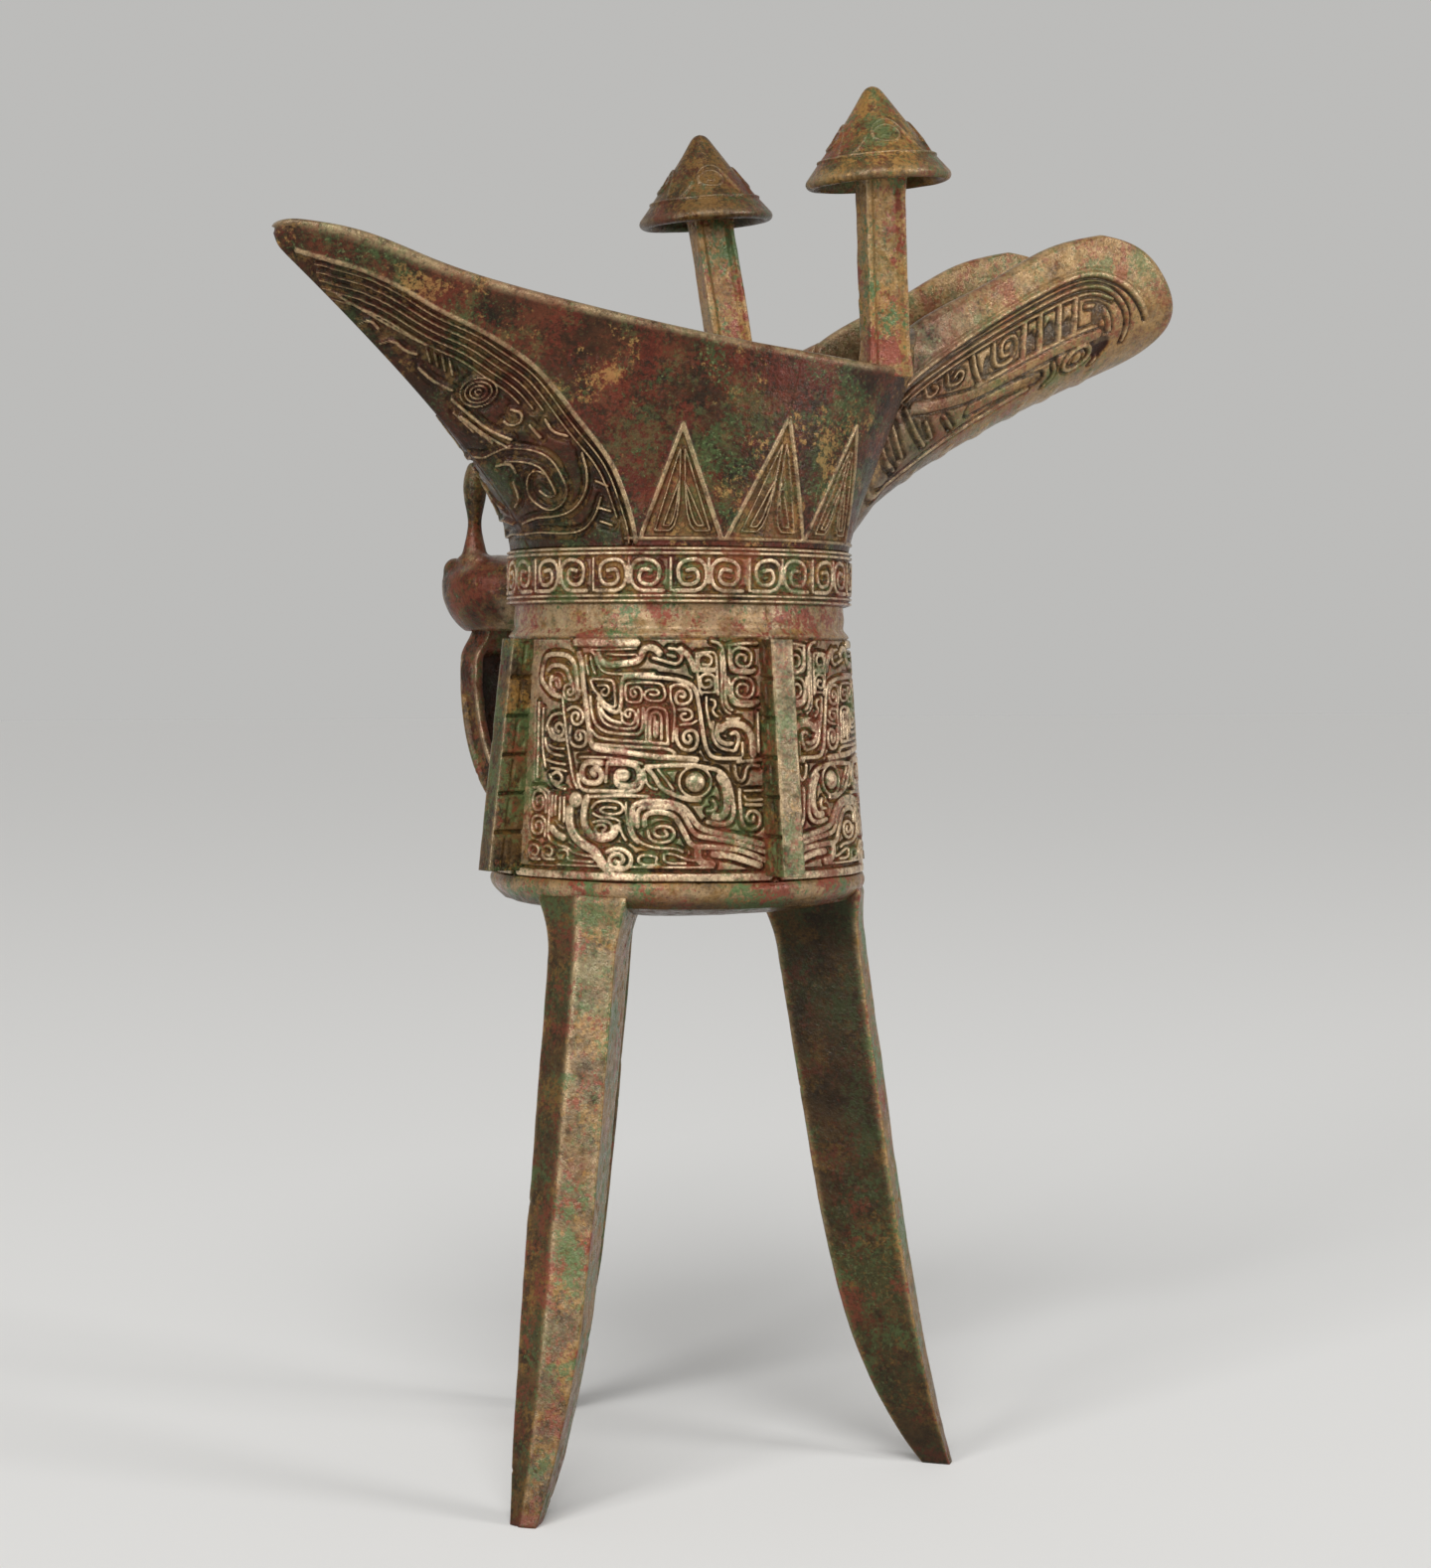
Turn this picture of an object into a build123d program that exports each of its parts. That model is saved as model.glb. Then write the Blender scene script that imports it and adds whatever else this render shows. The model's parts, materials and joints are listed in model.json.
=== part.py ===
"""Bronze jue: a three-legged wine vessel with a spout, a pointed tail and two capped posts.

Sizes are millimetres and angles are degrees. The vessel stands on z = 0 with its axis on the origin.
The spout points along +X, the tail along -X, and the strap handle stands near +Y.
Each casting is its own solid. Tenons, tongues and spigots sit in pockets that are larger by CLEARANCE.
"""

import os
from math import cos, pi, radians, sin, sqrt

from build123d import *

# Fits
CLEARANCE = 0.1          # each side of every tenon, tongue and spigot
END_GAP = 0.3            # room past the end of a tenon
CUT_MARGIN = 2.0         # how far a cutting tool runs past what it cuts

# Base plate
LEG_HEIGHT = 88.8        # floor to the shoulder of the legs
BASE_RADIUS = 28.8
BASE_EDGE = 3.2          # thickness of the base plate at its edge
BASE_EDGE_ROUND = 2.2
BASE_SAG = 3.3           # how far the convex underside hangs below the leg shoulders
REGISTER_HEIGHT = 2.5    # disc that centres the cup wall on the base

# Cup wall and neck
CUP_HEIGHT = 36.5
CUP_BOTTOM_RADIUS = 28.5
CUP_TOP_RADIUS = 26.4
CUP_WALL = 3.0
NECK_HEIGHT = 12.5
NECK_RADIUS = 24.9
NECK_WALL = 2.4
SHOULDER_SLOPE = 0.8     # height of the small slope from the cup wall in to the neck

# Scroll band round the neck
BAND_HEIGHT = 8.4
BAND_RADIUS = 26.5

# Mouth collar and tail
SPIGOT_DEPTH = 4.0
SPIGOT_WALL = 1.8
SPIGOT_LEDGE = 0.4       # step from the collar's inside down to the spigot's bore
MOUTH_RADIUS = 26.0      # round foot of the collar, on the neck
MOUTH_WALL = 2.1
MOUTH_HEIGHT = 28.0      # neck to the lowest stretch of the rim
MOUTH_HALF_WIDTH = 27.0
MOUTH_FRONT_REACH = 37.0
MOUTH_WIDEST_X = 6.0
TAIL_REACH = 66.8        # to the blunt tip
TAIL_POINT_REACH = 71.0  # where the two sides of the tail would meet
TAIL_RISE = 17.6         # tail tip above the lowest stretch of the rim
TAIL_KEEL_WALL = 4.4     # level thickness at the keel of the tail
TAIL_SWEEP = 1.24        # power by which the tail reaches out with height
TAIL_POINT_SHARE = 0.6   # share of the tail's height over which its round section sharpens
TAIL_SHARPNESS = 0.45    # how far the sharpened section draws in along the keel
TAIL_SIDE_FLATNESS = 0.84
FRONT_SWEEP = 1.3        # power by which the front reaches out with height
FRONT_SQUARENESS = 0.4   # how far the front departs from an ellipse at the rim
TAIL_RIM_SHAPE = ((0.09, 0.93), (0.21, 0.725), (0.44, 0.41), (0.78, 0.1))  # shares of run and rise

# Spout
SPOUT_REACH = 88.2
SPOUT_HALF_WIDTH = 13.5
SPOUT_WALL = 2.1
SPOUT_KEEL_RISE = 34.8   # keel at the lip above the foot of the collar
SPOUT_LIP = 17.2         # length of the rounded lip, past the highest stretch of the spout's rim
SPOUT_PEAK_RISE = 24.4   # highest stretch of the spout's rim above the lowest rim
SPOUT_SEAM_X = 39.0      # the spout butts against the collar on this level plane
SPOUT_LAP = 3.0          # inner lip of the spout that laps inside the collar
KEEL_CURVE = 0.7         # power by which the keel rises with its run
KEEL_START = 0.08        # share of the run that is straight
CHANNEL_STATIONS = 7
SPOUT_RIM_SHAPE = ((0.12, 0.23), (0.52, 0.64), (0.78, 0.89))  # shares of run and rise
LIP_SHAPE = ((0.3, 0.97), (0.6, 0.865), (0.86, 0.61), (1.0, 0.34))  # shares of the lip's length and height
LIP_FOOT_SHARE = 0.35    # where the round lip meets the keel, back from its tip
LIP_UNDERCUT = 0.2       # how far the lip's outline runs below the keel

# Legs
LEG_ANGLES = {"leg_tail_side": -151.5, "leg_spout_side": -30.0, "leg_handle_side": 90.0}
LEG_TOP_OUTER = 28.2     # radius of the outer ridge at the shoulder
LEG_TOP_INNER = 13.9     # radius of the inner edge at the shoulder
LEG_OUTER_SPLAY = 12.0
LEG_INNER_SPLAY = 14.7
LEG_OUTER_TOE = 2.9      # extra outward sweep near the foot
LEG_INNER_TOE = 9.7
LEG_OUTER_TOE_POWER = 4
LEG_INNER_TOE_POWER = 6
LEG_TAPER_POWER = 5      # the width narrows mostly near the foot
LEG_STATIONS = (0.3, 0.5, 0.68, 0.82, 0.92, 1.0)  # shares of the height below the spread
LEG_TOP_WIDTH = 11.8
LEG_FOOT_WIDTH = 4.4
LEG_RIDGE = 1.6          # the outer face rises to a ridge, in step with the width
LEG_INNER_WIDTH = 1.6    # blunt inner edge of the blade section
LEG_FLARE = 1.8          # spread where the leg runs into the base
LEG_FLARE_SHARE = 0.1    # share of the leg's height that the spread takes
LEG_TENON_LENGTH = 6.0   # along the radius
LEG_TENON_WIDTH = 4.0
LEG_TENON_HEIGHT = 4.0

# Posts
POST_LENGTH = 30.0
POST_WIDTH = 6.9
POST_DEPTH = 4.6
POST_TOP_SHARE = 0.98    # width at the top over the width at the foot
POST_ROUND = 0.9
POST_FOOT_X = 22.9
POST_FOOT_INSET = 2.6    # post axis inside the outer face of the collar
POST_LEAN_X = -3.7
POST_LEAN_Y = 3.4
POST_TENON_WIDTH = 4.4
POST_TENON_DEPTH = 2.4
POST_TENON_HEIGHT = 5.0
POST_SEAT_HEIGHT = 9.0   # boss on the inside of the collar, below the post
PEG_RADIUS = 2.0         # round peg at the top of the post
PEG_HEIGHT = 4.0

# Post caps
CAP_RADIUS = 10.9
CAP_HEIGHT = 14.6
CAP_RIM = 2.2            # upright edge of the cap
CAP_WALL = 2.2
CAP_SEAT_HEIGHT = 3.6    # post shoulder above the cap's lower edge
CAP_BOSS_RADIUS = 4.4
CAP_TIP_ROUND = 1.6      # radius where the round nose meets the cone
CAP_NOSE = 0.96          # height of the round nose
CAP_BULGE = 0.5          # how far the cone swells beyond a straight line
CAP_TILT = 5.5           # towards the tail

# Flanges
FLANGE_ANGLES = {"tail_flange": 180.0, "front_flange": -90.0, "spout_flange": 0.0}
FLANGE_WIDTH = 3.7
FLANGE_BOTTOM_REACH = 33.6
FLANGE_TOP_REACH = 29.6
FLANGE_LOW_GAP = 1.0     # flange's foot above the base plate
FLANGE_HIGH_GAP = 1.0    # flange's top below the shoulder of the cup
FLANGE_TONGUE_WIDTH = 1.6
FLANGE_TONGUE = 1.2      # depth of the tongue in the cup wall
FLANGE_NOTCHES = 5
FLANGE_NOTCH_WIDTH = 0.7
FLANGE_NOTCH_DEPTH = 0.5

# Handle
HANDLE_ANGLE = 98.0
HANDLE_WIDTH = 9.0
HANDLE_THICKNESS = 5.0
HANDLE_REACH = 53.0
HANDLE_FOOT_RISE = 7.0   # middle of the strap's lower end above the base plate
HANDLE_FOOT_TENON = 1.6
HANDLE_ROUND = 1.2
STRAP_BULGE_SHARE = 0.68 # share of the drop, from the foot, where the strap stands furthest out
STRAP_BEND_SHARE = 0.3   # and where it turns in, on its outer face
STRAP_BEND_INSET = 2.2
STRAP_BACK_SHARE = 0.38  # and on its inner face
STRAP_BACK_INSET = 2.6
STRAP_LEAN = 0.3         # outward slope of the strap below the head
STRAP_NECK = 5.4         # width of the strap where it leaves the head
STRAP_SHOULDER = 4.6     # drop over which it widens
STRAP_SEAT_SHARE = 0.72  # strap's middle behind the head's nose, as a share of its half length
HEAD_LENGTH = 11.0       # half sizes of the animal head's skull
HEAD_HALF_WIDTH = 9.5
HEAD_CROWN = 4.8         # skull above its widest level
HEAD_CHIN = 9.8          # and below it, before it is cut flat
HEAD_REACH = 58.0
HEAD_LIFT = 0.2          # widest level of the skull above the middle of its shank
HEAD_FLAT_SHARE = 0.8    # flat underside, as a share of the chin
EYE_RADIUS = 2.0
EYE_PLACE = (0.45, 0.62, 0.45)  # shares of the skull's half sizes and crown
SHANK_WIDTH = 8.0
SHANK_HEIGHT = 5.6
SHANK_TENON = 1.2
STRAP_TENON_LENGTH = 3.0
STRAP_TENON_WIDTH = 4.0
STRAP_TENON_HEIGHT = 3.5
HORN_HEIGHT = 18.0
HORN_RADIUS = 1.9
HORN_SPREAD = 5.2        # axis of a horn from the handle's middle plane
HORN_PLACE = (0.05, 0.4) # root of the axis, as shares of the skull's half length and crown
HORN_SHAPE = ((1.3, 0.0), (1.0, 0.22), (0.66, 0.44), (1.0, 0.68), (0.95, 0.86))  # shares of radius, height
HORN_TIP_SHARE = 0.5     # flat tip, as a share of the radius

# Heights and radii that follow
BASE_TOP = LEG_HEIGHT + BASE_EDGE
CUP_TOP = BASE_TOP + CUP_HEIGHT
NECK_TOP = CUP_TOP + NECK_HEIGHT
RIM = NECK_TOP + MOUTH_HEIGHT
TAIL_TIP = RIM + TAIL_RISE
SPOUT_PEAK = RIM + SPOUT_PEAK_RISE
SPOUT_PEAK_X = SPOUT_REACH - SPOUT_LIP
BAND_BOTTOM = NECK_TOP - BAND_HEIGHT
CUP_INNER_BOTTOM = CUP_BOTTOM_RADIUS - CUP_WALL
NECK_INNER = NECK_RADIUS - NECK_WALL
SPIGOT_RADIUS = NECK_INNER - CLEARANCE
SPIGOT_INNER = SPIGOT_RADIUS - SPIGOT_WALL
REGISTER_TOP = BASE_TOP + REGISTER_HEIGHT
COLLAR_TOP = max(TAIL_TIP, SPOUT_PEAK) + CUT_MARGIN

COLLAR_LEVELS = 7        # sections of the collar between its foot and its top
HALF_SAMPLES = 6         # points on a quarter of a collar section


def wedge(angle, solid):
    """Turns a solid that was drawn along +X to the given angle about the vessel's axis."""
    return Rot(0, 0, angle) * solid


def block(x0, x1, half_width, z0, z1):
    """Box from x0 to x1 and z0 to z1, centred on the middle plane."""
    box = Box(x1 - x0, 2 * half_width, z1 - z0)
    return Pos((x0 + x1) / 2, 0, (z0 + z1) / 2) * box


def turned(points):
    """Solid of revolution about the vessel's axis, from (radius, height) corners."""
    outline = Polyline([(r, 0, z) for r, z in points], close=True)
    return revolve(make_face(outline), Axis.Z)


def dome(x, half_chord, rise):
    """Height of a round arch above its chord, at a distance from its middle."""
    radius = (half_chord ** 2 + rise ** 2) / (2 * rise)
    return sqrt(radius ** 2 - x ** 2) - radius + rise


def curve_points(start, run, rise, shape):
    """Points of a rim in the side view, from shares of its run and its rise."""
    x, z = start
    return [(x + share * run, 0, z + height * rise) for share, height in shape]


# Collar: level sections from a circle at the neck to a leaf shape at the rim


def share_of_tail(z):
    """How far a level is on the way from the neck to the tail tip."""
    return (z - NECK_TOP) / (TAIL_TIP - NECK_TOP)


def share_of_rim(z):
    """How far a level is on the way from the neck to the lowest rim, held at 1 above it."""
    return min(1.0, (z - NECK_TOP) / MOUTH_HEIGHT)


def collar_sizes(z, wall, keel_wall):
    """Widest point, tail reach, front reach and half width of the collar at one level, less its wall."""
    rim_share = share_of_rim(z)
    widest = MOUTH_WIDEST_X * rim_share
    tail = MOUTH_RADIUS + (TAIL_POINT_REACH - MOUTH_RADIUS) * share_of_tail(z) ** TAIL_SWEEP
    front = MOUTH_RADIUS + (MOUTH_FRONT_REACH - MOUTH_RADIUS) * rim_share ** FRONT_SWEEP
    half = MOUTH_RADIUS + (MOUTH_HALF_WIDTH - MOUTH_RADIUS) * rim_share
    return widest, tail - keel_wall + widest, front - wall - widest, half - wall


def front_power(z):
    """Power of the rounded front at one level: 2 is an ellipse."""
    return 2 + FRONT_SQUARENESS * share_of_rim(z)


def collar_half(z, wall, keel_wall):
    """Points of a collar section from the tail round the +Y side to the front."""
    widest, tail, front, half = collar_sizes(z, wall, keel_wall)
    point = min(1.0, share_of_tail(z) / TAIL_POINT_SHARE)
    tail_power = 2 - TAIL_SHARPNESS * point
    side_power = 1 + TAIL_SIDE_FLATNESS * point
    power = 2 / front_power(z)
    points = []
    for i in range(HALF_SAMPLES):
        a = pi / 2 * i / HALF_SAMPLES
        points.append((widest - tail * cos(a) ** (2 / tail_power), half * sin(a) ** side_power))
    for i in range(HALF_SAMPLES + 1):
        a = pi / 2 * (1 - i / HALF_SAMPLES)
        points.append((widest + front * max(cos(a), 0.0) ** power, half * max(sin(a), 0.0) ** power))
    return points


def collar_section(z, wall, keel_wall):
    """Level face of the collar, keeled at the tail and smooth at the front."""
    half = [Vector(x, y, z) for x, y in collar_half(z, wall, keel_wall)]
    other = [Vector(p.X, -p.Y, z) for p in half]
    edges = []
    for side, points in ((1, half), (-1, other)):
        start = points[1] - points[0] if z > NECK_TOP else Vector(0, side, 0)
        edges.append(Spline(*points, tangents=[start.normalized(), Vector(0, -side, 0)]))
    return make_face(edges)


def collar_body(wall, keel_wall, foot_wall):
    """Solid collar, filled to its outline less a wall at its sides, its keel and its foot."""
    rise = COLLAR_TOP - NECK_TOP
    faces = [collar_section(NECK_TOP, foot_wall, foot_wall)]
    for i in range(1, COLLAR_LEVELS):
        faces.append(collar_section(NECK_TOP + rise * i / (COLLAR_LEVELS - 1), wall, keel_wall))
    return loft(faces)


def collar_side(x, z):
    """Half width of the collar's outer face at a place ahead of its widest point."""
    widest, _, front, half = collar_sizes(z, 0, 0)
    power = front_power(z)
    return half * (1 - (abs(x - widest) / front) ** power) ** (1 / power)


# Spout: upright sections along a rising keel


def keel_height(x):
    """Height of the spout's keel, which runs on straight behind the neck's front."""
    run = (x - MOUTH_RADIUS) / (SPOUT_REACH - MOUTH_RADIUS)
    if run < KEEL_START:
        return NECK_TOP + SPOUT_KEEL_RISE * KEEL_START ** KEEL_CURVE * run / KEEL_START
    return NECK_TOP + SPOUT_KEEL_RISE * run ** KEEL_CURVE


def channel_section(x, inset):
    """U-shaped face across the spout, closed above the rim."""
    width = SPOUT_HALF_WIDTH - inset
    keel = keel_height(x) + inset
    top = COLLAR_TOP + CUT_MARGIN
    sides = keel + width
    bowl = ThreePointArc((x, -width, sides), (x, 0, keel), (x, width, sides))
    walls = Polyline((x, width, sides), (x, width, top), (x, -width, top), (x, -width, sides))
    return make_face([bowl, walls])


def channel_body(inset, x_start):
    """Solid spout, filled to its outline less the inset, from x_start past the lip."""
    step = (SPOUT_REACH + CUT_MARGIN - x_start) / (CHANNEL_STATIONS - 1)
    return loft([channel_section(x_start + step * i, inset) for i in range(CHANNEL_STATIONS)])


def side_outline():
    """Everything under the rim in the side view: tail, dip at the posts, spout and round lip."""
    seat_from = POST_FOOT_X - POST_WIDTH / 2 - CUT_MARGIN
    seat_to = POST_FOOT_X + POST_WIDTH / 2
    low = NECK_TOP - SPIGOT_DEPTH - CUT_MARGIN
    tail_run = TAIL_REACH + seat_from
    tail_rim = Spline(
        (-TAIL_REACH, 0, TAIL_TIP),
        *curve_points((-TAIL_REACH, RIM), tail_run, TAIL_RISE, TAIL_RIM_SHAPE),
        (seat_from, 0, RIM),
    )
    seat = Line((seat_from, 0, RIM), (seat_to, 0, RIM))
    spout_rim = Spline(
        (seat_to, 0, RIM),
        *curve_points((seat_to, RIM), SPOUT_PEAK_X - seat_to, SPOUT_PEAK_RISE, SPOUT_RIM_SHAPE),
        (SPOUT_PEAK_X, 0, SPOUT_PEAK),
    )
    lip_foot = SPOUT_REACH - LIP_FOOT_SHARE * SPOUT_LIP
    lip_keel = keel_height(lip_foot)
    lip_rim = Spline(
        (SPOUT_PEAK_X, 0, SPOUT_PEAK),
        *curve_points((SPOUT_PEAK_X, lip_keel), SPOUT_LIP, SPOUT_PEAK - lip_keel, LIP_SHAPE),
        (lip_foot, 0, lip_keel - LIP_UNDERCUT),
    )
    under = Polyline(lip_rim @ 1, (lip_foot, 0, low), (-TAIL_REACH, 0, low), tail_rim @ 0)
    face = make_face([tail_rim, seat, spout_rim, lip_rim, under])
    return extrude(face, amount=2 * TAIL_REACH, dir=(0, 1, 0), both=True)


def channel(inset):
    """Spout filled to its outline less the inset, from inside the neck and above its top."""
    above_neck = block(0, 2 * SPOUT_REACH, SPOUT_REACH, NECK_TOP + inset, 2 * COLLAR_TOP)
    return channel_body(inset, NECK_INNER) & above_neck


def spigot():
    """Ring below the collar that centres it in the neck."""
    low = NECK_TOP - SPIGOT_DEPTH
    bore, outer = SPIGOT_INNER, SPIGOT_RADIUS
    return turned([(bore, low), (outer, low), (outer, NECK_TOP), (bore, NECK_TOP)])


def make_mouth_and_spout():
    """Collar with its tail, and the spout that laps into it."""
    keep = side_outline()
    outer = collar_body(0, 0, 0)
    hollow = collar_body(MOUTH_WALL, TAIL_KEEL_WALL, MOUTH_RADIUS - SPIGOT_INNER - SPIGOT_LEDGE)
    shell = (outer + channel(0)) - hollow - channel(SPOUT_WALL)
    past_seam = block(SPOUT_SEAM_X, 2 * SPOUT_REACH, TAIL_REACH, 0, 2 * COLLAR_TOP)
    lap_zone = block(SPOUT_SEAM_X - SPOUT_LAP, SPOUT_SEAM_X, TAIL_REACH, 0, 2 * COLLAR_TOP)
    lap_outer = channel_body(SPOUT_WALL / 2 + CLEARANCE, MOUTH_RADIUS)
    lap = (lap_outer - channel_body(SPOUT_WALL, MOUTH_RADIUS)) & lap_zone
    lap_pocket = channel_body(SPOUT_WALL / 2, MOUTH_RADIUS) & lap_zone
    mouth = shell - past_seam - lap_pocket
    for side in (1, -1):
        mouth = mouth + (post_seat(side) & outer)
    mouth = (mouth & keep) + spigot()
    for side in (1, -1):
        mouth = mouth - post_tenon(side, CLEARANCE, END_GAP)
    spout = ((shell & past_seam) + lap) & keep
    return mouth, spout


# Posts and caps


def post_foot(side):
    """Middle of a post's foot on the rim."""
    return Vector(POST_FOOT_X, side * (collar_side(POST_FOOT_X, RIM) - POST_FOOT_INSET), RIM)


def post_head(side):
    """Middle of a post's shoulder, under its cap."""
    return post_foot(side) + Vector(POST_LEAN_X, side * POST_LEAN_Y, POST_LENGTH)


def cap_plane(side):
    """Plane of the post's shoulder, tilted with the cap."""
    tilt = radians(CAP_TILT)
    return Plane(origin=post_head(side), x_dir=(cos(tilt), 0, sin(tilt)), z_dir=(-sin(tilt), 0, cos(tilt)))


def post_tenon(side, clearance, end_gap):
    """Square tenon below a post, or its socket when a clearance is given."""
    foot = post_foot(side)
    height = POST_TENON_HEIGHT + end_gap
    tenon = Box(POST_TENON_WIDTH + 2 * clearance, POST_TENON_DEPTH + 2 * clearance, height)
    return Pos(foot.X, foot.Y, RIM - height / 2) * tenon


def post_seat(side):
    """Boss inside the collar that carries a post."""
    foot = post_foot(side)
    boss = Box(POST_WIDTH, POST_DEPTH, POST_SEAT_HEIGHT)
    return Pos(foot.X, foot.Y, RIM - POST_SEAT_HEIGHT / 2) * boss


def make_post(side):
    """Strip-like post with a square tenon below and a round peg above."""
    low = Plane(origin=post_foot(side))
    high = cap_plane(side)
    foot_face = RectangleRounded(POST_WIDTH, POST_DEPTH, POST_ROUND)
    head_face = RectangleRounded(POST_WIDTH * POST_TOP_SHARE, POST_DEPTH * POST_TOP_SHARE, POST_ROUND)
    stem = loft([low * foot_face, high * head_face])
    peg = high * Cylinder(PEG_RADIUS, PEG_HEIGHT, align=(Align.CENTER, Align.CENTER, Align.MIN))
    return stem + peg + post_tenon(side, 0, 0)


def make_cap(side):
    """Hollow cone on a post, with a boss that takes the post's peg."""
    low = -CAP_SEAT_HEIGHT
    tip = CAP_HEIGHT - CAP_SEAT_HEIGHT
    cone_top = Vector(CAP_TIP_ROUND, 0, tip - CAP_NOSE)
    cone_foot = Vector(CAP_RADIUS, 0, low + CAP_RIM)
    swell = Vector(CAP_BULGE * sin(pi / 4), 0, CAP_BULGE * sin(pi / 4))
    cone = ThreePointArc(cone_top, (cone_top + cone_foot) / 2 + swell, cone_foot)
    nose_side = CAP_TIP_ROUND / 2
    nose_height = tip - CAP_NOSE + dome(nose_side, CAP_TIP_ROUND, CAP_NOSE)
    nose = ThreePointArc((0, 0, tip), (nose_side, 0, nose_height), cone_top)
    slope = (tip - low - CAP_RIM) / CAP_RADIUS
    inside = CAP_RADIUS - CAP_WALL
    ceiling = low + slope * (inside - CAP_BOSS_RADIUS)
    peg_hole = PEG_RADIUS + CLEARANCE
    peg_end = PEG_HEIGHT + END_GAP
    under = Polyline(
        cone_foot,
        (CAP_RADIUS, 0, low),
        (inside, 0, low),
        (CAP_BOSS_RADIUS, 0, ceiling),
        (CAP_BOSS_RADIUS, 0, 0),
        (peg_hole, 0, 0),
        (peg_hole, 0, peg_end),
        (0, 0, peg_end),
        (0, 0, tip),
    )
    return cap_plane(side) * revolve(make_face([nose, cone, under]), Axis.Z)


# Legs


def leg_section(share, flare, grow=0.0):
    """Blade-shaped level section of a leg. The share runs from 0 at the shoulder to 1 at the foot."""
    outer_toe = LEG_OUTER_TOE * share ** LEG_OUTER_TOE_POWER
    inner_toe = LEG_INNER_TOE * share ** LEG_INNER_TOE_POWER
    outer = LEG_TOP_OUTER + LEG_OUTER_SPLAY * share + outer_toe + grow
    inner = LEG_TOP_INNER + LEG_INNER_SPLAY * share + inner_toe - flare - grow
    width = LEG_TOP_WIDTH + (LEG_FOOT_WIDTH - LEG_TOP_WIDTH) * share ** LEG_TAPER_POWER
    half = width / 2 + flare + grow
    edge = LEG_INNER_WIDTH / 2 + flare / 2 + grow
    shoulder = outer - LEG_RIDGE * width / LEG_TOP_WIDTH
    z = LEG_HEIGHT * (1 - share)
    corners = [(inner, -edge, z), (shoulder, -half, z), (outer, 0, z), (shoulder, half, z), (inner, edge, z)]
    return make_face(Polyline(corners, close=True))


def leg_tenon(clearance, end_gap):
    """Tenon above a leg's shoulder, or its socket when a clearance is given."""
    middle = (LEG_TOP_OUTER + LEG_TOP_INNER) / 2
    half = LEG_TENON_LENGTH / 2 + clearance
    height = LEG_TENON_HEIGHT + end_gap
    width = LEG_TENON_WIDTH / 2 + clearance
    return block(middle - half, middle + half, width, LEG_HEIGHT, LEG_HEIGHT + height)


def make_leg(angle):
    """Splayed leg of triangular section with a flat foot."""
    faces = []
    for share in (0.0, LEG_FLARE_SHARE / 2, LEG_FLARE_SHARE, *LEG_STATIONS):
        spread = max(0.0, 1 - share / LEG_FLARE_SHARE)
        faces.append(leg_section(share, LEG_FLARE * spread ** 2))
    return wedge(angle, loft(faces) + leg_tenon(0, 0))


def make_base():
    """Convex base plate with a register for the cup wall and sockets for the legs."""
    flat = BASE_RADIUS - BASE_EDGE_ROUND
    rim_low = LEG_HEIGHT + BASE_EDGE_ROUND
    sag_side = BASE_RADIUS / 2
    sag = ThreePointArc(
        (0, 0, LEG_HEIGHT - BASE_SAG),
        (sag_side, 0, LEG_HEIGHT - dome(sag_side, flat, BASE_SAG)),
        (flat, 0, LEG_HEIGHT),
    )
    slant = BASE_EDGE_ROUND * sin(pi / 4)
    edge = ThreePointArc(
        (flat, 0, LEG_HEIGHT), (flat + slant, 0, rim_low - slant), (BASE_RADIUS, 0, rim_low)
    )
    register = CUP_INNER_BOTTOM - CLEARANCE
    top = Polyline(
        (BASE_RADIUS, 0, rim_low),
        (BASE_RADIUS, 0, BASE_TOP),
        (register, 0, BASE_TOP),
        (register, 0, REGISTER_TOP),
        (0, 0, REGISTER_TOP),
        (0, 0, LEG_HEIGHT - BASE_SAG),
    )
    plate = revolve(make_face([sag, edge, top]), Axis.Z)
    seat = extrude(leg_section(0, LEG_FLARE, CLEARANCE), amount=-BASE_SAG - CUT_MARGIN)
    for angle in LEG_ANGLES.values():
        plate = plate - wedge(angle, seat) - wedge(angle, leg_tenon(CLEARANCE, END_GAP))
    return plate


# Cup wall, band and flanges


def cup_radius(z):
    """Outer radius of the cup wall at a height."""
    return CUP_BOTTOM_RADIUS + (CUP_TOP_RADIUS - CUP_BOTTOM_RADIUS) * (z - BASE_TOP) / CUP_HEIGHT


def flange_tongue(clearance, end_gap):
    """Tongue of a flange in the cup wall, or its groove when a clearance is given."""
    low = BASE_TOP + FLANGE_LOW_GAP
    high = CUP_TOP - FLANGE_HIGH_GAP
    depth = FLANGE_TONGUE + end_gap
    out = CUT_MARGIN
    side = Polyline(
        (cup_radius(low) - depth, 0, low - clearance),
        (cup_radius(low) + out, 0, low - clearance),
        (cup_radius(high) + out, 0, high + clearance),
        (cup_radius(high) - depth, 0, high + clearance),
        close=True,
    )
    return extrude(make_face(side), amount=FLANGE_TONGUE_WIDTH / 2 + clearance, both=True)


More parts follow.
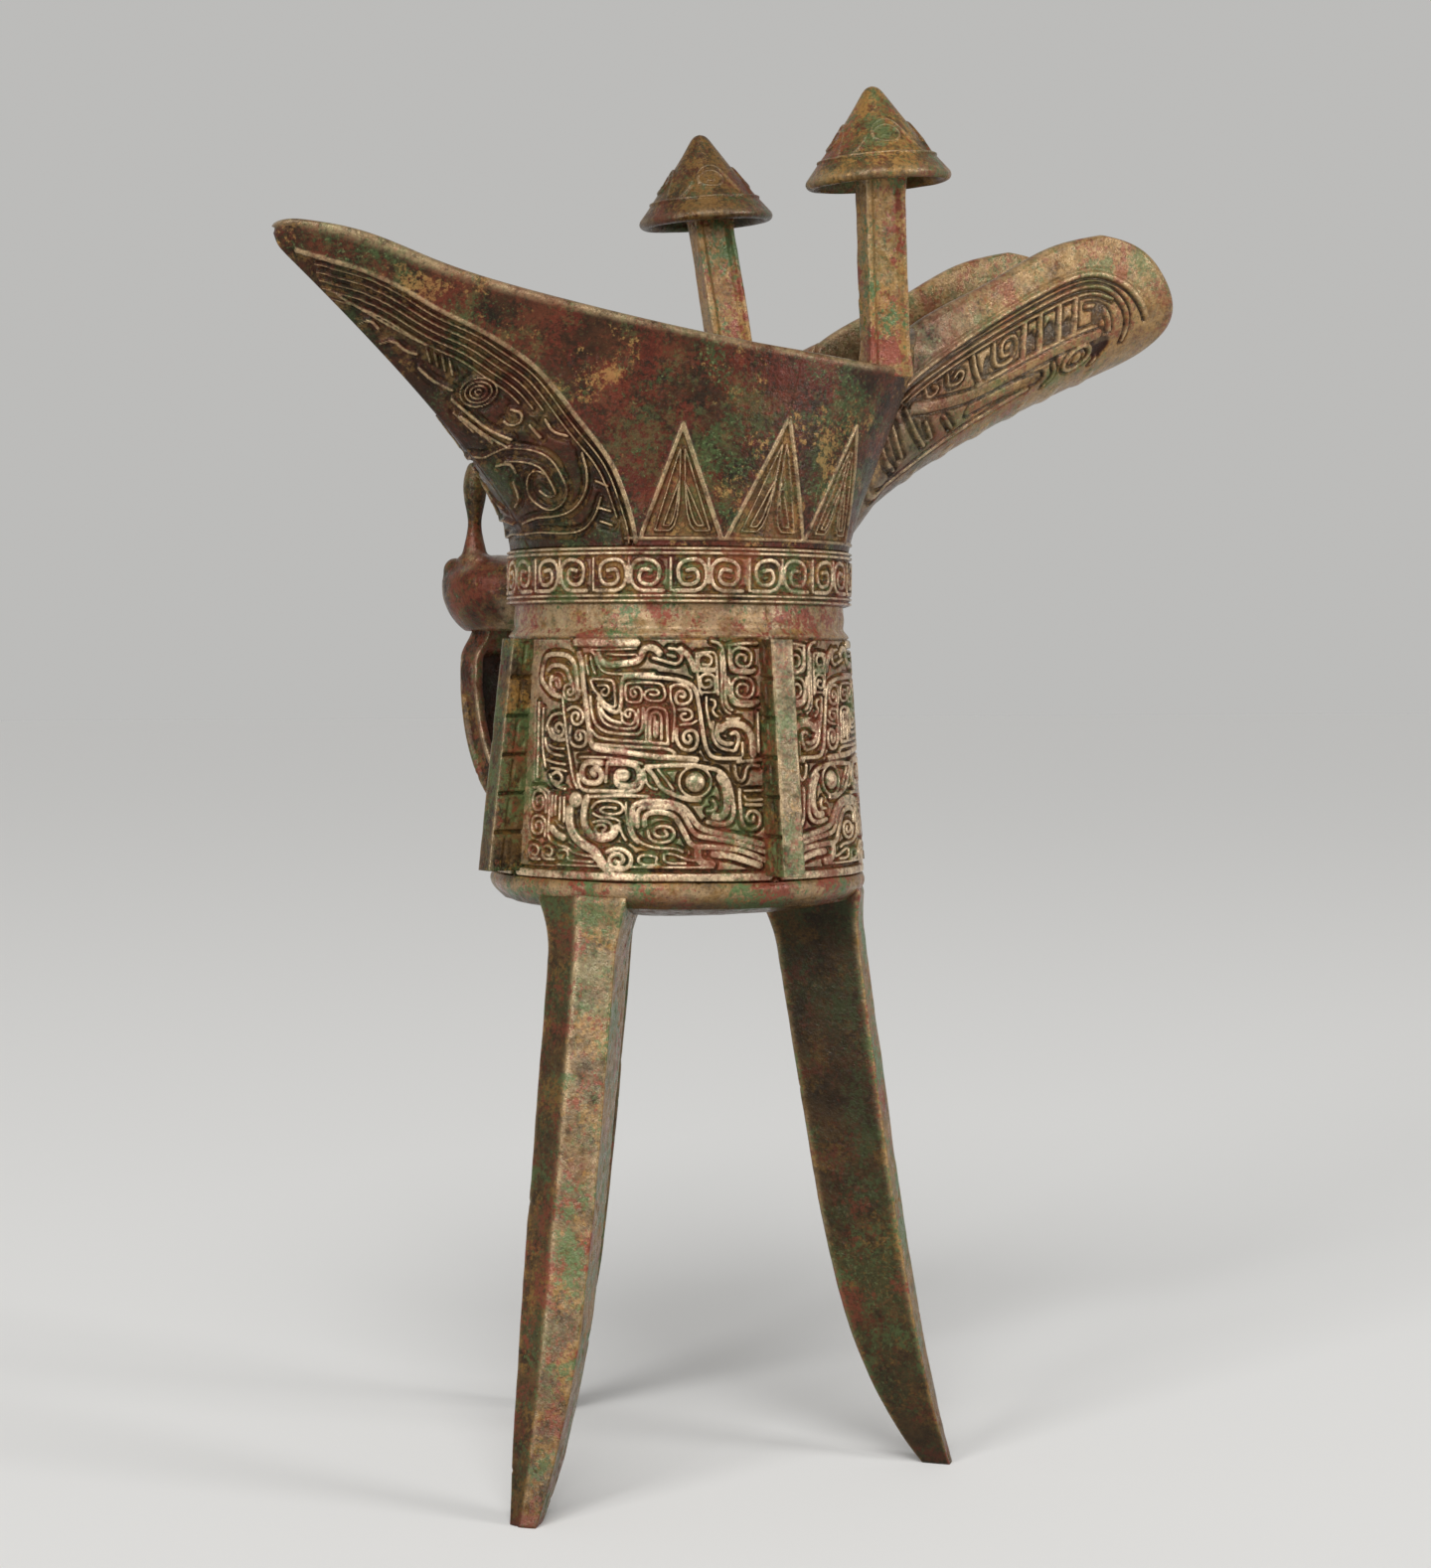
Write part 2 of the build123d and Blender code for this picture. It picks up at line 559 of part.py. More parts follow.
def make_flange(angle):
    """Upright fin with notched edges and a tongue that sits in the cup wall."""
    low = BASE_TOP + FLANGE_LOW_GAP
    high = CUP_TOP - FLANGE_HIGH_GAP
    face = cup_disc(0, low, high)
    side = Polyline(
        (0, 0, low), (FLANGE_BOTTOM_REACH, 0, low), (FLANGE_TOP_REACH, 0, high), (0, 0, high), close=True
    )
    fin = extrude(make_face(side), amount=FLANGE_WIDTH / 2, both=True) - face
    pitch = (high - low) / (FLANGE_NOTCHES + 1)
    inner_half = FLANGE_WIDTH / 2 - FLANGE_NOTCH_DEPTH
    for i in range(FLANGE_NOTCHES):
        z = low + pitch * (i + 1)
        half = FLANGE_NOTCH_WIDTH / 2
        ring = block(0, 2 * FLANGE_BOTTOM_REACH, FLANGE_WIDTH, z - half, z + half)
        reach = FLANGE_BOTTOM_REACH + (FLANGE_TOP_REACH - FLANGE_BOTTOM_REACH) * (z - low) / (high - low)
        fin = fin - (ring - block(0, reach - FLANGE_NOTCH_DEPTH, inner_half, z - half, z + half))
    tongue = flange_tongue(0, 0) & cup_disc(CLEARANCE, low, high)
    return wedge(angle, fin + tongue)


def cup_disc(grow, low, high):
    """Filled cup between two heights, larger all round by grow."""
    return turned([(0, low), (cup_radius(low) + grow, low), (cup_radius(high) + grow, high), (0, high)])


def make_cup_wall():
    """Tapered cup wall with the recessed neck above it, grooved for the flanges and the handle."""
    wall = turned(
        [
            (CUP_INNER_BOTTOM, BASE_TOP),
            (CUP_BOTTOM_RADIUS, BASE_TOP),
            (cup_radius(CUP_TOP - SHOULDER_SLOPE), CUP_TOP - SHOULDER_SLOPE),
            (NECK_RADIUS, CUP_TOP),
            (NECK_RADIUS, NECK_TOP),
            (NECK_INNER, NECK_TOP),
            (NECK_INNER, CUP_TOP),
            (CUP_INNER_BOTTOM, REGISTER_TOP + END_GAP),
        ]
    )
    for angle in FLANGE_ANGLES.values():
        wall = wall - wedge(angle, flange_tongue(CLEARANCE, END_GAP))
    wall = wall - wedge(HANDLE_ANGLE, strap_foot(CLEARANCE)) - wedge(HANDLE_ANGLE, head_tenon(CLEARANCE))
    return wall


def make_neck_band():
    """Raised scroll band round the neck, notched for the shank of the handle's head."""
    bore = NECK_RADIUS + CLEARANCE
    ring = turned(
        [(bore, BAND_BOTTOM), (BAND_RADIUS, BAND_BOTTOM), (BAND_RADIUS, NECK_TOP), (bore, NECK_TOP)]
    )
    return ring - wedge(HANDLE_ANGLE, head_tenon(CLEARANCE))


# Handle, drawn along +X


def shank_height():
    """Middle height of the shank that carries the animal head."""
    return BAND_BOTTOM + BAND_HEIGHT / 2


def head_tenon(clearance):
    """Shank from the animal head into the neck, or its pocket when a clearance is given."""
    start = NECK_RADIUS - SHANK_TENON - clearance
    middle = shank_height()
    half = SHANK_HEIGHT / 2 + clearance
    return block(start, HEAD_REACH - HEAD_LENGTH, SHANK_WIDTH / 2 + clearance, middle - half, middle + half)


def strap_x():
    """Middle of the strap where it hangs from the animal head."""
    return HEAD_REACH - STRAP_SEAT_SHARE * HEAD_LENGTH


def strap_top():
    """Height of the strap's upper shoulder, at the underside of the head."""
    return shank_height() + HEAD_LIFT - HEAD_FLAT_SHARE * HEAD_CHIN


def strap_foot(clearance):
    """Lower tenon of the strap, or its pocket in the cup wall when a clearance is given."""
    middle = BASE_TOP + HANDLE_FOOT_RISE
    start = cup_radius(middle) - HANDLE_FOOT_TENON - clearance
    half = HANDLE_THICKNESS / 2 + clearance
    width = HANDLE_WIDTH / 2 + clearance
    return block(start, CUP_BOTTOM_RADIUS + CUT_MARGIN, width, middle - half, middle + half)


def strap_peg(clearance, end_gap):
    """Upper tenon of the strap, or its socket in the head when a clearance is given."""
    half = STRAP_TENON_LENGTH / 2 + clearance
    width = STRAP_TENON_WIDTH / 2 + clearance
    top = strap_top() + STRAP_TENON_HEIGHT + end_gap
    return block(strap_x() - half, strap_x() + half, width, strap_top(), top)


def strap_outline(low, top):
    """Front view of the strap as a thick plate: narrow under the head, then its full width."""
    wide = HANDLE_WIDTH / 2
    neck = STRAP_NECK / 2
    view = Polyline(
        (0, -wide, low), (0, wide, low), (0, wide, top - STRAP_SHOULDER), (0, neck, top),
        (0, -neck, top), (0, -wide, top - STRAP_SHOULDER), close=True,
    )
    return extrude(make_face(view), amount=2 * HEAD_REACH, dir=(1, 0, 0))


def make_strap():
    """Strap of the handle: down from the head, then swept in to the cup wall."""
    half = HANDLE_THICKNESS / 2
    foot = BASE_TOP + HANDLE_FOOT_RISE
    root = CUP_BOTTOM_RADIUS + CUT_MARGIN
    top = strap_top()
    drop = top - foot
    bulge = foot + STRAP_BULGE_SHARE * drop
    inner_reach = HANDLE_REACH - HANDLE_THICKNESS
    out = Spline(
        (strap_x() + half, 0, top),
        (HANDLE_REACH, 0, bulge),
        (HANDLE_REACH - STRAP_BEND_INSET, 0, foot + STRAP_BEND_SHARE * drop),
        (root, 0, foot - half),
        tangents=[(STRAP_LEAN, 0, -1), (-1, 0, 0)],
    )
    back = Spline(
        (root, 0, foot + half),
        (inner_reach - STRAP_BACK_INSET, 0, foot + STRAP_BACK_SHARE * drop),
        (inner_reach, 0, bulge),
        (strap_x() - half, 0, top),
        tangents=[(1, 0, 0), (-STRAP_LEAN, 0, 1)],
    )
    side = make_face([out, Line(out @ 1, back @ 0), back, Line(back @ 1, out @ 0)])
    strap = extrude(side, amount=HANDLE_WIDTH / 2, both=True)
    long_edges = [e for e in strap.edges() if e.length > drop / 2]
    strap = fillet(long_edges, HANDLE_ROUND) & strap_outline(foot - HANDLE_THICKNESS, top)
    return wedge(HANDLE_ANGLE, strap + strap_foot(0) + strap_peg(0, 0))


def make_horn():
    """Bottle-shaped horn on the vessel's axis, with its root at height zero."""
    tip = (HORN_TIP_SHARE * HORN_RADIUS, 0, HORN_HEIGHT)
    side = Spline(*[(wide * HORN_RADIUS, 0, rise * HORN_HEIGHT) for wide, rise in HORN_SHAPE], tip)
    axis = Polyline(tip, (0, 0, HORN_HEIGHT), (0, 0, 0), side @ 0)
    return revolve(make_face([side, *axis.edges()]), Axis.Z)


def half_skull(height):
    """Upper half of the skull about the origin."""
    egg = scale(Sphere(1), (HEAD_LENGTH, HEAD_HALF_WIDTH, height))
    return egg & block(-HEAD_REACH, HEAD_REACH, HEAD_REACH, 0, HEAD_REACH)


def make_head():
    """Animal head over the strap: skull, eyes, two bottle horns and the shank into the neck."""
    middle = shank_height() + HEAD_LIFT
    centre = HEAD_REACH - HEAD_LENGTH
    skull = half_skull(HEAD_CROWN) + Rot(180, 0, 0) * half_skull(HEAD_CHIN)
    head = Pos(centre, 0, middle) * skull + head_tenon(0)
    horn_shift, horn_rise = HORN_PLACE
    horn = Pos(centre + horn_shift * HEAD_LENGTH, 0, middle + horn_rise * HEAD_CROWN) * make_horn()
    forward, across, up = EYE_PLACE
    eye_x = centre + forward * HEAD_LENGTH
    eye_z = middle + up * HEAD_CROWN
    for side in (1, -1):
        head = head + Pos(0, side * HORN_SPREAD, 0) * horn
        head = head + Pos(eye_x, side * across * HEAD_HALF_WIDTH, eye_z) * Sphere(EYE_RADIUS)
    under = block(0, 2 * HEAD_REACH, HEAD_REACH, strap_top() - HEAD_REACH, strap_top())
    head = head - under - strap_peg(CLEARANCE, END_GAP)
    return wedge(HANDLE_ANGLE, head)


def main():
    """Builds every casting and writes one STEP file for each."""
    mouth, spout = make_mouth_and_spout()
    pieces = {
        "base_plate": make_base(),
        "cup_wall": make_cup_wall(),
        "neck_band": make_neck_band(),
        "mouth_collar": mouth,
        "spout": spout,
        "handle_strap": make_strap(),
        "handle_head": make_head(),
    }
    for name, side in (("near_post", -1), ("far_post", 1)):
        pieces[name] = make_post(side)
        pieces[name + "_cap"] = make_cap(side)
    for name, angle in LEG_ANGLES.items():
        pieces[name] = make_leg(angle)
    for name, angle in FLANGE_ANGLES.items():
        pieces[name] = make_flange(angle)
    os.makedirs("parts", exist_ok=True)
    for name, piece in pieces.items():
        export_step(piece, f"parts/{name}.step")
        size = piece.bounding_box().size
        print(f"{name}: {len(piece.solids())} solid, {size.X:.1f} x {size.Y:.1f} x {size.Z:.1f} mm")


main()
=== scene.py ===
"""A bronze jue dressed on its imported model: cast relief, patina and a plain pale studio."""

import json
import logging
import math
from dataclasses import dataclass
from enum import Enum

import bmesh
import bpy
import numpy as np
from mathutils import Euler, Matrix, Vector

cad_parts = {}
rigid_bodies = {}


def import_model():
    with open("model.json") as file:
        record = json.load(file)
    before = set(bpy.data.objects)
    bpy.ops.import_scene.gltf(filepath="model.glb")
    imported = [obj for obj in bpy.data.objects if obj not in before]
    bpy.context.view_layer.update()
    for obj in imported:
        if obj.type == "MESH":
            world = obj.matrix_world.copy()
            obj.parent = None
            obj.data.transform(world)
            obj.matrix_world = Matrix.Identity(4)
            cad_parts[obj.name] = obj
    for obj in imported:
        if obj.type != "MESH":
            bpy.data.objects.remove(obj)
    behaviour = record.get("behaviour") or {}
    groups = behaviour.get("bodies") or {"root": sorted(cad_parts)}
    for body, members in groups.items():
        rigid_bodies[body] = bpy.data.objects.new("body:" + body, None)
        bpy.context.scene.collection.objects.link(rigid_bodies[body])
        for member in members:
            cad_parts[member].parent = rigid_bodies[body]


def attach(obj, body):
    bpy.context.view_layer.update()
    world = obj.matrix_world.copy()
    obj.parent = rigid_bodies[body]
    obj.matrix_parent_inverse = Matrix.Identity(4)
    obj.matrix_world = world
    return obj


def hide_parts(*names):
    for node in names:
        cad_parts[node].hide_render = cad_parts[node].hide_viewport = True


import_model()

log = logging.getLogger("jue")

MM = 0.001
QUARTER = math.pi / 2
PLAIN_LEVEL = 0.62  # relief of plain metal, between the sunk ground and the ridges
Grid = np.ndarray
Socket = bpy.types.NodeSocket


# Shared geometry

def unit(value: Grid) -> Grid:
    """Return the value limited to the range 0 to 1."""
    return np.clip(value, 0.0, 1.0)


def ease(value: Grid, low: float, high: float) -> Grid:
    """Return a soft step of the value from 0 at low to 1 at high."""
    share = unit((value - low) / (high - low))
    return share * share * (3.0 - 2.0 * share)


def between(shares: tuple, low: tuple, high: tuple) -> list:
    """Return flat points from pairs of shares of the way from one corner to the other."""
    return [tuple(a + (b - a) * s for a, b, s in zip(low, high, pair)) for pair in shares]


def arc_length(points: Grid) -> Grid:
    """Return the distance of each row of points from the first row."""
    steps = np.linalg.norm(np.diff(points, axis=0), axis=-1)
    return np.concatenate([np.zeros_like(steps[:1]), np.cumsum(steps, axis=0)])


def spline(points: list, count: int = 300) -> Grid:
    """Pass a natural cubic curve through flat points.

    Args:
        points: The (x, y) points in order.
        count: How many points the curve is sampled at.

    Returns:
        An array of count rows.
    """
    knots = np.array(points, float)
    reach = arc_length(knots)
    gaps = np.diff(reach)
    last = len(knots) - 1
    matrix = np.eye(last + 1)
    pull = np.zeros_like(knots)
    for k in range(1, last):
        matrix[k, k - 1:k + 2] = gaps[k - 1], 2 * (gaps[k - 1] + gaps[k]), gaps[k]
        pull[k] = 6 * ((knots[k + 1] - knots[k]) / gaps[k] - (knots[k] - knots[k - 1]) / gaps[k - 1])
    bend = np.linalg.solve(matrix, pull)
    place = np.linspace(0.0, reach[-1], count)
    k = np.clip(np.searchsorted(reach, place) - 1, 0, last - 1)
    gap = gaps[k][:, None]
    ahead = (place - reach[k])[:, None]
    behind = gap - ahead
    curve = (bend[k] * behind ** 3 + bend[k + 1] * ahead ** 3) / (6 * gap)
    curve += (knots[k] / gap - bend[k] * gap / 6) * behind
    return curve + (knots[k + 1] / gap - bend[k + 1] * gap / 6) * ahead


def left_of(curve: Grid) -> Grid:
    """Return the unit direction to the left of a flat curve at each of its points."""
    run = np.gradient(curve, axis=0)
    run /= np.linalg.norm(run, axis=1, keepdims=True)
    return np.stack([-run[:, 1], run[:, 0]], -1)


def beside(points: list, away: float, count: int = 120) -> Grid:
    """Return a smooth curve through flat points, moved to its left by a distance."""
    curve = spline(points, count)
    return curve + away * left_of(curve)


def cloud(place: Grid, cell: float, seed: int) -> Grid:
    """Return smooth random heights between 0 and 1 at points in space.

    Args:
        place: Points in millimetres, with x, y and z in the last axis.
        cell: Size of the lumps in millimetres.
        seed: Picks one random pattern.

    Returns:
        One height for each point.
    """
    scaled = place / cell
    corner = np.floor(scaled).astype(np.int64)
    part = scaled - corner
    part = part * part * (3.0 - 2.0 * part)
    total = np.zeros(place.shape[:-1])
    for turn in range(8):
        step = np.array([turn & 1, turn >> 1 & 1, turn >> 2 & 1])
        mixed = (corner + step) @ np.array([374761393, 668265263, 1440662683]) + seed * 974711
        mixed = (mixed ^ (mixed >> 13)) * 1274126177 & 0x7FFFFFFF
        value = ((mixed ^ (mixed >> 16)) & 0xFFFF) / 65535.0
        total += value * np.prod(np.where(step, part, 1.0 - part), axis=-1)
    return total


def cast_skin(place: Grid, seed: int) -> Grid:
    """Return the slight unevenness and pits of a cast and buried surface, in millimetres."""
    swell = 0.2 * (cloud(place, 7.0, seed) - 0.5) + 0.08 * (cloud(place, 2.1, seed + 1) - 0.5)
    pits = ease(cloud(place, 0.9, seed + 2), 0.72, 0.9) * ease(cloud(place, 8.0, seed + 3), 0.45, 0.7)
    return swell - 0.14 * pits


def pushed(points: Grid, outward: Grid, lift: Grid) -> Grid:
    """Move a grid of points along its normals.

    Args:
        points: Rows and columns of points.
        outward: Rough outward direction at each point.
        lift: How far each point moves outwards.

    Returns:
        The moved points.
    """
    normal = np.cross(np.gradient(points, axis=0), np.gradient(points, axis=1))
    normal /= np.maximum(np.linalg.norm(normal, axis=-1, keepdims=True), 1e-9)
    facing = np.sum(normal * outward, axis=-1, keepdims=True)
    return points + np.where(facing < 0, -normal, normal) * lift[..., None]


def revolved(radius: Grid, height: Grid, turn: Grid) -> Grid:
    """Return points about the upright axis from radii, heights and turns that spread over one grid."""
    return np.stack(np.broadcast_arrays(radius * np.cos(turn), radius * np.sin(turn), height), -1)


def lookup(table: Grid, row: Grid, column: Grid) -> Grid:
    """Return the values of a table at places between its rows and columns."""
    i = np.clip(row.astype(int), 0, table.shape[0] - 2)
    j = np.clip(column.astype(int), 0, table.shape[1] - 2)
    down, along = row - i, column - j
    first = table[i, j] * (1 - along) + table[i, j + 1] * along
    second = table[i + 1, j] * (1 - along) + table[i + 1, j + 1] * along
    return first * (1 - down) + second * down


def fine_ends(count: int, end: float) -> Grid:
    """Return shares from 0 to 1 whose last five steps close up over the given part of the length."""
    closing = 1.0 - np.cos(np.linspace(0.0, QUARTER, 6))[:-1]
    middle = np.linspace(0.0, 1.0 - end, count - len(closing))
    return np.concatenate([middle, 1.0 - end * closing[::-1]])


# Relief

@dataclass
class Relief:
    """Height map of a cast panel, drawn in millimetres with raised strokes on a sunk ground.

    Heights run from 0 on the ground to 1 on the top of a ridge.
    """

    low: tuple
    high: tuple
    step: float = 0.08
    shoulder: float = 0.12
    crown: float = 0.12
    widen: float = 1.0
    fill: float = 0.74
    gap: tuple = (0.32, 0.58)
    broad: float = 1.6
    broad_height: float = 0.68

    def __post_init__(self) -> None:
        """Lay out the empty map."""
        self.shape = tuple(int((b - a) / self.step) + 2 for a, b in zip(self.low, self.high))
        self.heights = np.zeros(self.shape)
        self.clear = np.full(self.shape, 9.0)

    def window(self, low: Grid, high: Grid) -> tuple:
        """Return the slices of the map between two corners and the coordinates in them."""
        first = [max(0, int((v - o) / self.step)) for v, o in zip(low, self.low)]
        final = [min(n, int((v - o) / self.step) + 2) for v, o, n in zip(high, self.low, self.shape)]
        axes = [o + self.step * np.arange(a, b) for a, b, o in zip(first, final, self.low)]
        return (slice(first[0], final[0]), slice(first[1], final[1])), np.meshgrid(*axes, indexing="ij")

    def cells(self) -> list:
        """Return the distance along and up of each cell of the map."""
        return self.window(self.low, self.high)[1]

    def ridge(self, width: float, *flat: float, height: float = 1.0, round_off: int = 2) -> None:
        """Raise a stroke through the points.

        Args:
            width: Width of the ridge.
            flat: Coordinates of the points, in turn along and up.
            height: Share of the full relief.
            round_off: How often the corners are cut to round them.
        """
        path = np.array(flat, float).reshape(-1, 2)
        for _ in range(round_off):
            cut = np.stack([0.75 * path[:-1] + 0.25 * path[1:], 0.25 * path[:-1] + 0.75 * path[1:]], 1)
            path = np.concatenate([path[:1], cut.reshape(-1, 2), path[-1:]])
        width *= self.widen
        reach = width / 2 + self.shoulder
        around = width / 2 + self.gap[1]
        for a, b in zip(path[:-1], path[1:]):
            area, (u, v) = self.window(np.minimum(a, b) - around, np.maximum(a, b) + around)
            if u.size == 0:
                continue
            run = b - a
            share = unit(((u - a[0]) * run[0] + (v - a[1]) * run[1]) / max(run @ run, 1e-9))
            away = np.hypot(u - a[0] - share * run[0], v - a[1] - share * run[1])
            crown = 1.0 - self.crown * (away / reach) ** 2
            raised = height * crown * ease(-away, -reach, self.shoulder - width / 2)
            self.heights[area] = np.maximum(self.heights[area], raised)
            self.clear[area] = np.minimum(self.clear[area], away - width / 2)

    def settle(self) -> None:
        """Raise the open ground that lies away from the strokes."""
        self.heights = np.maximum(self.heights, self.fill * ease(self.clear, *self.gap))

    def boss(self, u: float, v: float, radius: float, height: float = 1.0) -> None:
        """Raise a round dome."""
        area, (x, y) = self.window(np.array([u, v]) - radius, np.array([u, v]) + radius)
        away = np.hypot(x - u, y - v)
        dome = height * np.sqrt(unit(1.0 - (away / radius) ** 2))
        self.heights[area] = np.maximum(self.heights[area], dome)
        self.clear[area] = np.minimum(self.clear[area], np.maximum(away - radius, 0.0))

    def pit(self, u: float, v: float, wide: float, high: float) -> None:
        """Sink an oval hollow with the given half sizes."""
        size = np.array([wide, high])
        area, (x, y) = self.window(np.array([u, v]) - 1.3 * size, np.array([u, v]) + 1.3 * size)
        self.heights[area] *= ease(np.hypot((x - u) / wide, (y - v) / high), 0.75, 1.2)

    def ring(self, width: float, u: float, v: float, wide: float, high: float) -> None:
        """Raise an oval ring with the given half sizes."""
        angle = np.linspace(0.0, 2 * math.pi, 28)
        flat = np.stack([u + wide * np.cos(angle), v + high * np.sin(angle)], 1)
        self.ridge(width, *flat.ravel(), round_off=0)

    def spiral(self, width: float, u: float, v: float, wide: float, high: float,
               pitch: float = 0.95, turn: int = 1, corner: int = 0) -> None:
        """Raise a squared spiral that winds inwards.

        Args:
            width: Width of the ridge.
            u: Centre along the panel.
            v: Centre up the panel.
            wide: Whole width of the spiral.
            high: Whole height of the spiral.
            pitch: How far the spiral closes in one turn.
            turn: 1 winds one way and -1 the other.
            corner: Which corner it starts from, 0 to 3.
        """
        flat = []
        for k in range(24):
            shrink = pitch * max(0, k - 2) / 4
            across, up = wide / 2 - shrink, high / 2 - shrink
            if min(across, up) < pitch * 0.2:
                break
            place = (corner + turn * k) % 4
            flat += [u + across * (-1, 1, 1, -1)[place], v + up * (-1, -1, 1, 1)[place]]
        self.ridge(width, *flat)

    def draw(self, strokes: tuple) -> None:
        """Raise each stroke of a tuple of widths and points, the broadest ones less."""
        for width, *flat in strokes:
            self.ridge(width, *flat, height=self.broad_height if width > self.broad else 1.0)

    def at(self, u: Grid, v: Grid) -> Grid:
        """Return the heights at panel coordinates, 0 outside the map."""
        row, column = np.broadcast_arrays((u - self.low[0]) / self.step, (v - self.low[1]) / self.step)
        inside = (row >= 0) & (column >= 0) & (row < self.shape[0] - 1) & (column < self.shape[1] - 1)
        return np.where(inside, lookup(self.heights, row, column), 0.0)


def stroke_points(stroke: tuple) -> Grid:
    """Return the points of a stroke, without its width."""
    return np.array(stroke[1:]).reshape(-1, 2)


# Strokes of the mask on the cup: width, then distance from the flange and height above the base plate
HORN_STROKES = (
    (0.9, 38.6, 30.0, 38.5, 31.6, 38.0, 32.7, 37.0, 33.2, 34.0, 33.2, 32.6, 32.8, 31.6, 31.8, 31.2, 30.4,
     31.0, 28.6, 30.9, 27.2),
    (0.8, 37.2, 30.8, 36.6, 31.4, 35.6, 31.6, 34.2, 31.5, 33.2, 31.0, 32.6, 30.0, 32.0, 28.9),
    (0.9, 38.7, 30.2, 38.5, 29.2, 37.6, 28.5, 36.6, 27.8, 35.8, 27.3, 34.4, 27.0),
    (0.7, 36.3, 29.9, 36.6, 29.0, 36.2, 28.1, 35.6, 27.9),
    (0.6, 36.0, 29.4, 35.0, 29.8, 34.4, 29.2, 34.3, 28.2, 35.0, 28.4, 35.3, 29.0),
    (0.55, 30.4, 27.9, 30.6, 26.9, 31.2, 26.5, 32.6, 26.5, 33.4, 26.9, 33.6, 27.8, 33.3, 28.7, 32.0, 28.8,
     31.6, 28.2, 31.7, 27.2, 32.7, 27.2, 32.8, 27.9, 32.2, 28.1),
    (1.0, 30.9, 33.3, 30.3, 32.0, 30.0, 30.0, 29.7, 28.0, 29.3, 26.0, 28.9, 24.0, 28.5, 22.0, 28.2, 20.4,
     27.6, 19.5, 26.0, 19.2, 22.0, 18.9, 18.0, 18.3, 14.5, 18.2, 12.0, 18.0),
    (0.55, 33.8, 27.0, 33.5, 25.6, 33.2, 24.0, 32.8, 22.5, 32.6, 21.0, 32.2, 19.4, 31.8, 18.0, 31.3, 16.0,
     30.9, 14.6, 30.2, 13.6),
    (0.6, 32.6, 25.0, 31.6, 25.6, 30.5, 25.3, 29.8, 24.6, 29.6, 23.6, 30.3, 22.9, 31.3, 22.9, 31.8, 23.7,
     31.6, 24.5, 30.9, 24.7, 30.4, 24.2, 30.7, 23.7),
    (0.6, 31.9, 22.6, 32.0, 21.0, 31.6, 20.0, 30.6, 19.6, 29.3, 19.7, 28.9, 20.6, 29.1, 21.7, 29.9, 22.1,
     30.7, 21.9, 31.0, 21.0, 30.3, 20.5, 29.7, 20.9, 30.1, 21.4),
    (0.6, 36.9, 22.0, 36.4, 23.4, 35.6, 24.3, 34.2, 24.5, 33.8, 24.4),
    (0.65, 36.4, 22.2, 35.7, 21.0, 34.4, 20.5, 33.0, 20.6),
    (0.65, 35.7, 22.3, 35.2, 21.3, 34.0, 21.0, 33.2, 21.5, 33.2, 22.5, 34.0, 23.1, 34.8, 22.8, 34.9, 22.0,
     34.2, 21.8),
    (0.55, 37.0, 20.8, 36.6, 19.4, 35.4, 18.5, 33.0, 18.2),
    (0.5, 36.0, 19.8, 34.8, 19.3, 33.0, 19.3),
    (0.5, 36.4, 17.6, 34.8, 17.2, 32.6, 17.0),
    (0.5, 35.4, 16.4, 33.6, 16.3, 32.4, 16.0),
    (0.6, 38.9, 26.0, 38.7, 22.0, 38.5, 18.0, 38.4, 15.0),
    (0.5, 37.7, 25.2, 37.7, 22.0, 37.4, 19.0, 36.6, 16.6),
    (0.6, 35.0, 15.5, 34.2, 15.9, 33.3, 15.5, 33.0, 14.7, 33.6, 14.2, 34.6, 14.5),
    (0.6, 35.6, 15.4, 35.0, 14.4, 34.0, 13.7, 32.4, 13.4),
    (1.3, 31.6, 34.95, 28.0, 34.95, 21.2, 34.9),
    (0.4, 30.0, 33.95, 26.4, 33.8, 21.2, 34.05),
    (0.45, 26.0, 33.25, 24.6, 33.1, 21.3, 33.15),
    (1.15, 27.4, 33.1, 26.8, 32.1, 25.8, 31.6, 24.0, 31.8, 22.0, 32.0, 20.9, 32.3, 20.4, 33.1, 20.1, 34.0,
     19.3, 34.3, 18.3, 34.1, 17.6, 33.4),
    (0.5, 29.9, 33.6, 28.8, 33.7, 28.0, 33.2, 27.7, 32.2, 27.0, 31.0, 26.0, 30.5, 24.6, 30.3, 22.0, 30.4,
     18.4, 30.4),
    (0.5, 29.6, 33.0, 29.4, 31.6, 29.0, 30.3),
    (0.5, 28.7, 32.8, 28.4, 31.4, 27.8, 30.4),
    (0.6, 18.6, 32.7, 17.4, 32.4, 16.0, 32.0, 15.0, 31.8, 14.3, 32.3, 14.2, 33.2, 15.0, 34.0, 16.2, 34.1),
    (1.0, 14.4, 34.0, 13.4, 33.3, 12.7, 32.2, 12.3, 31.0),
)

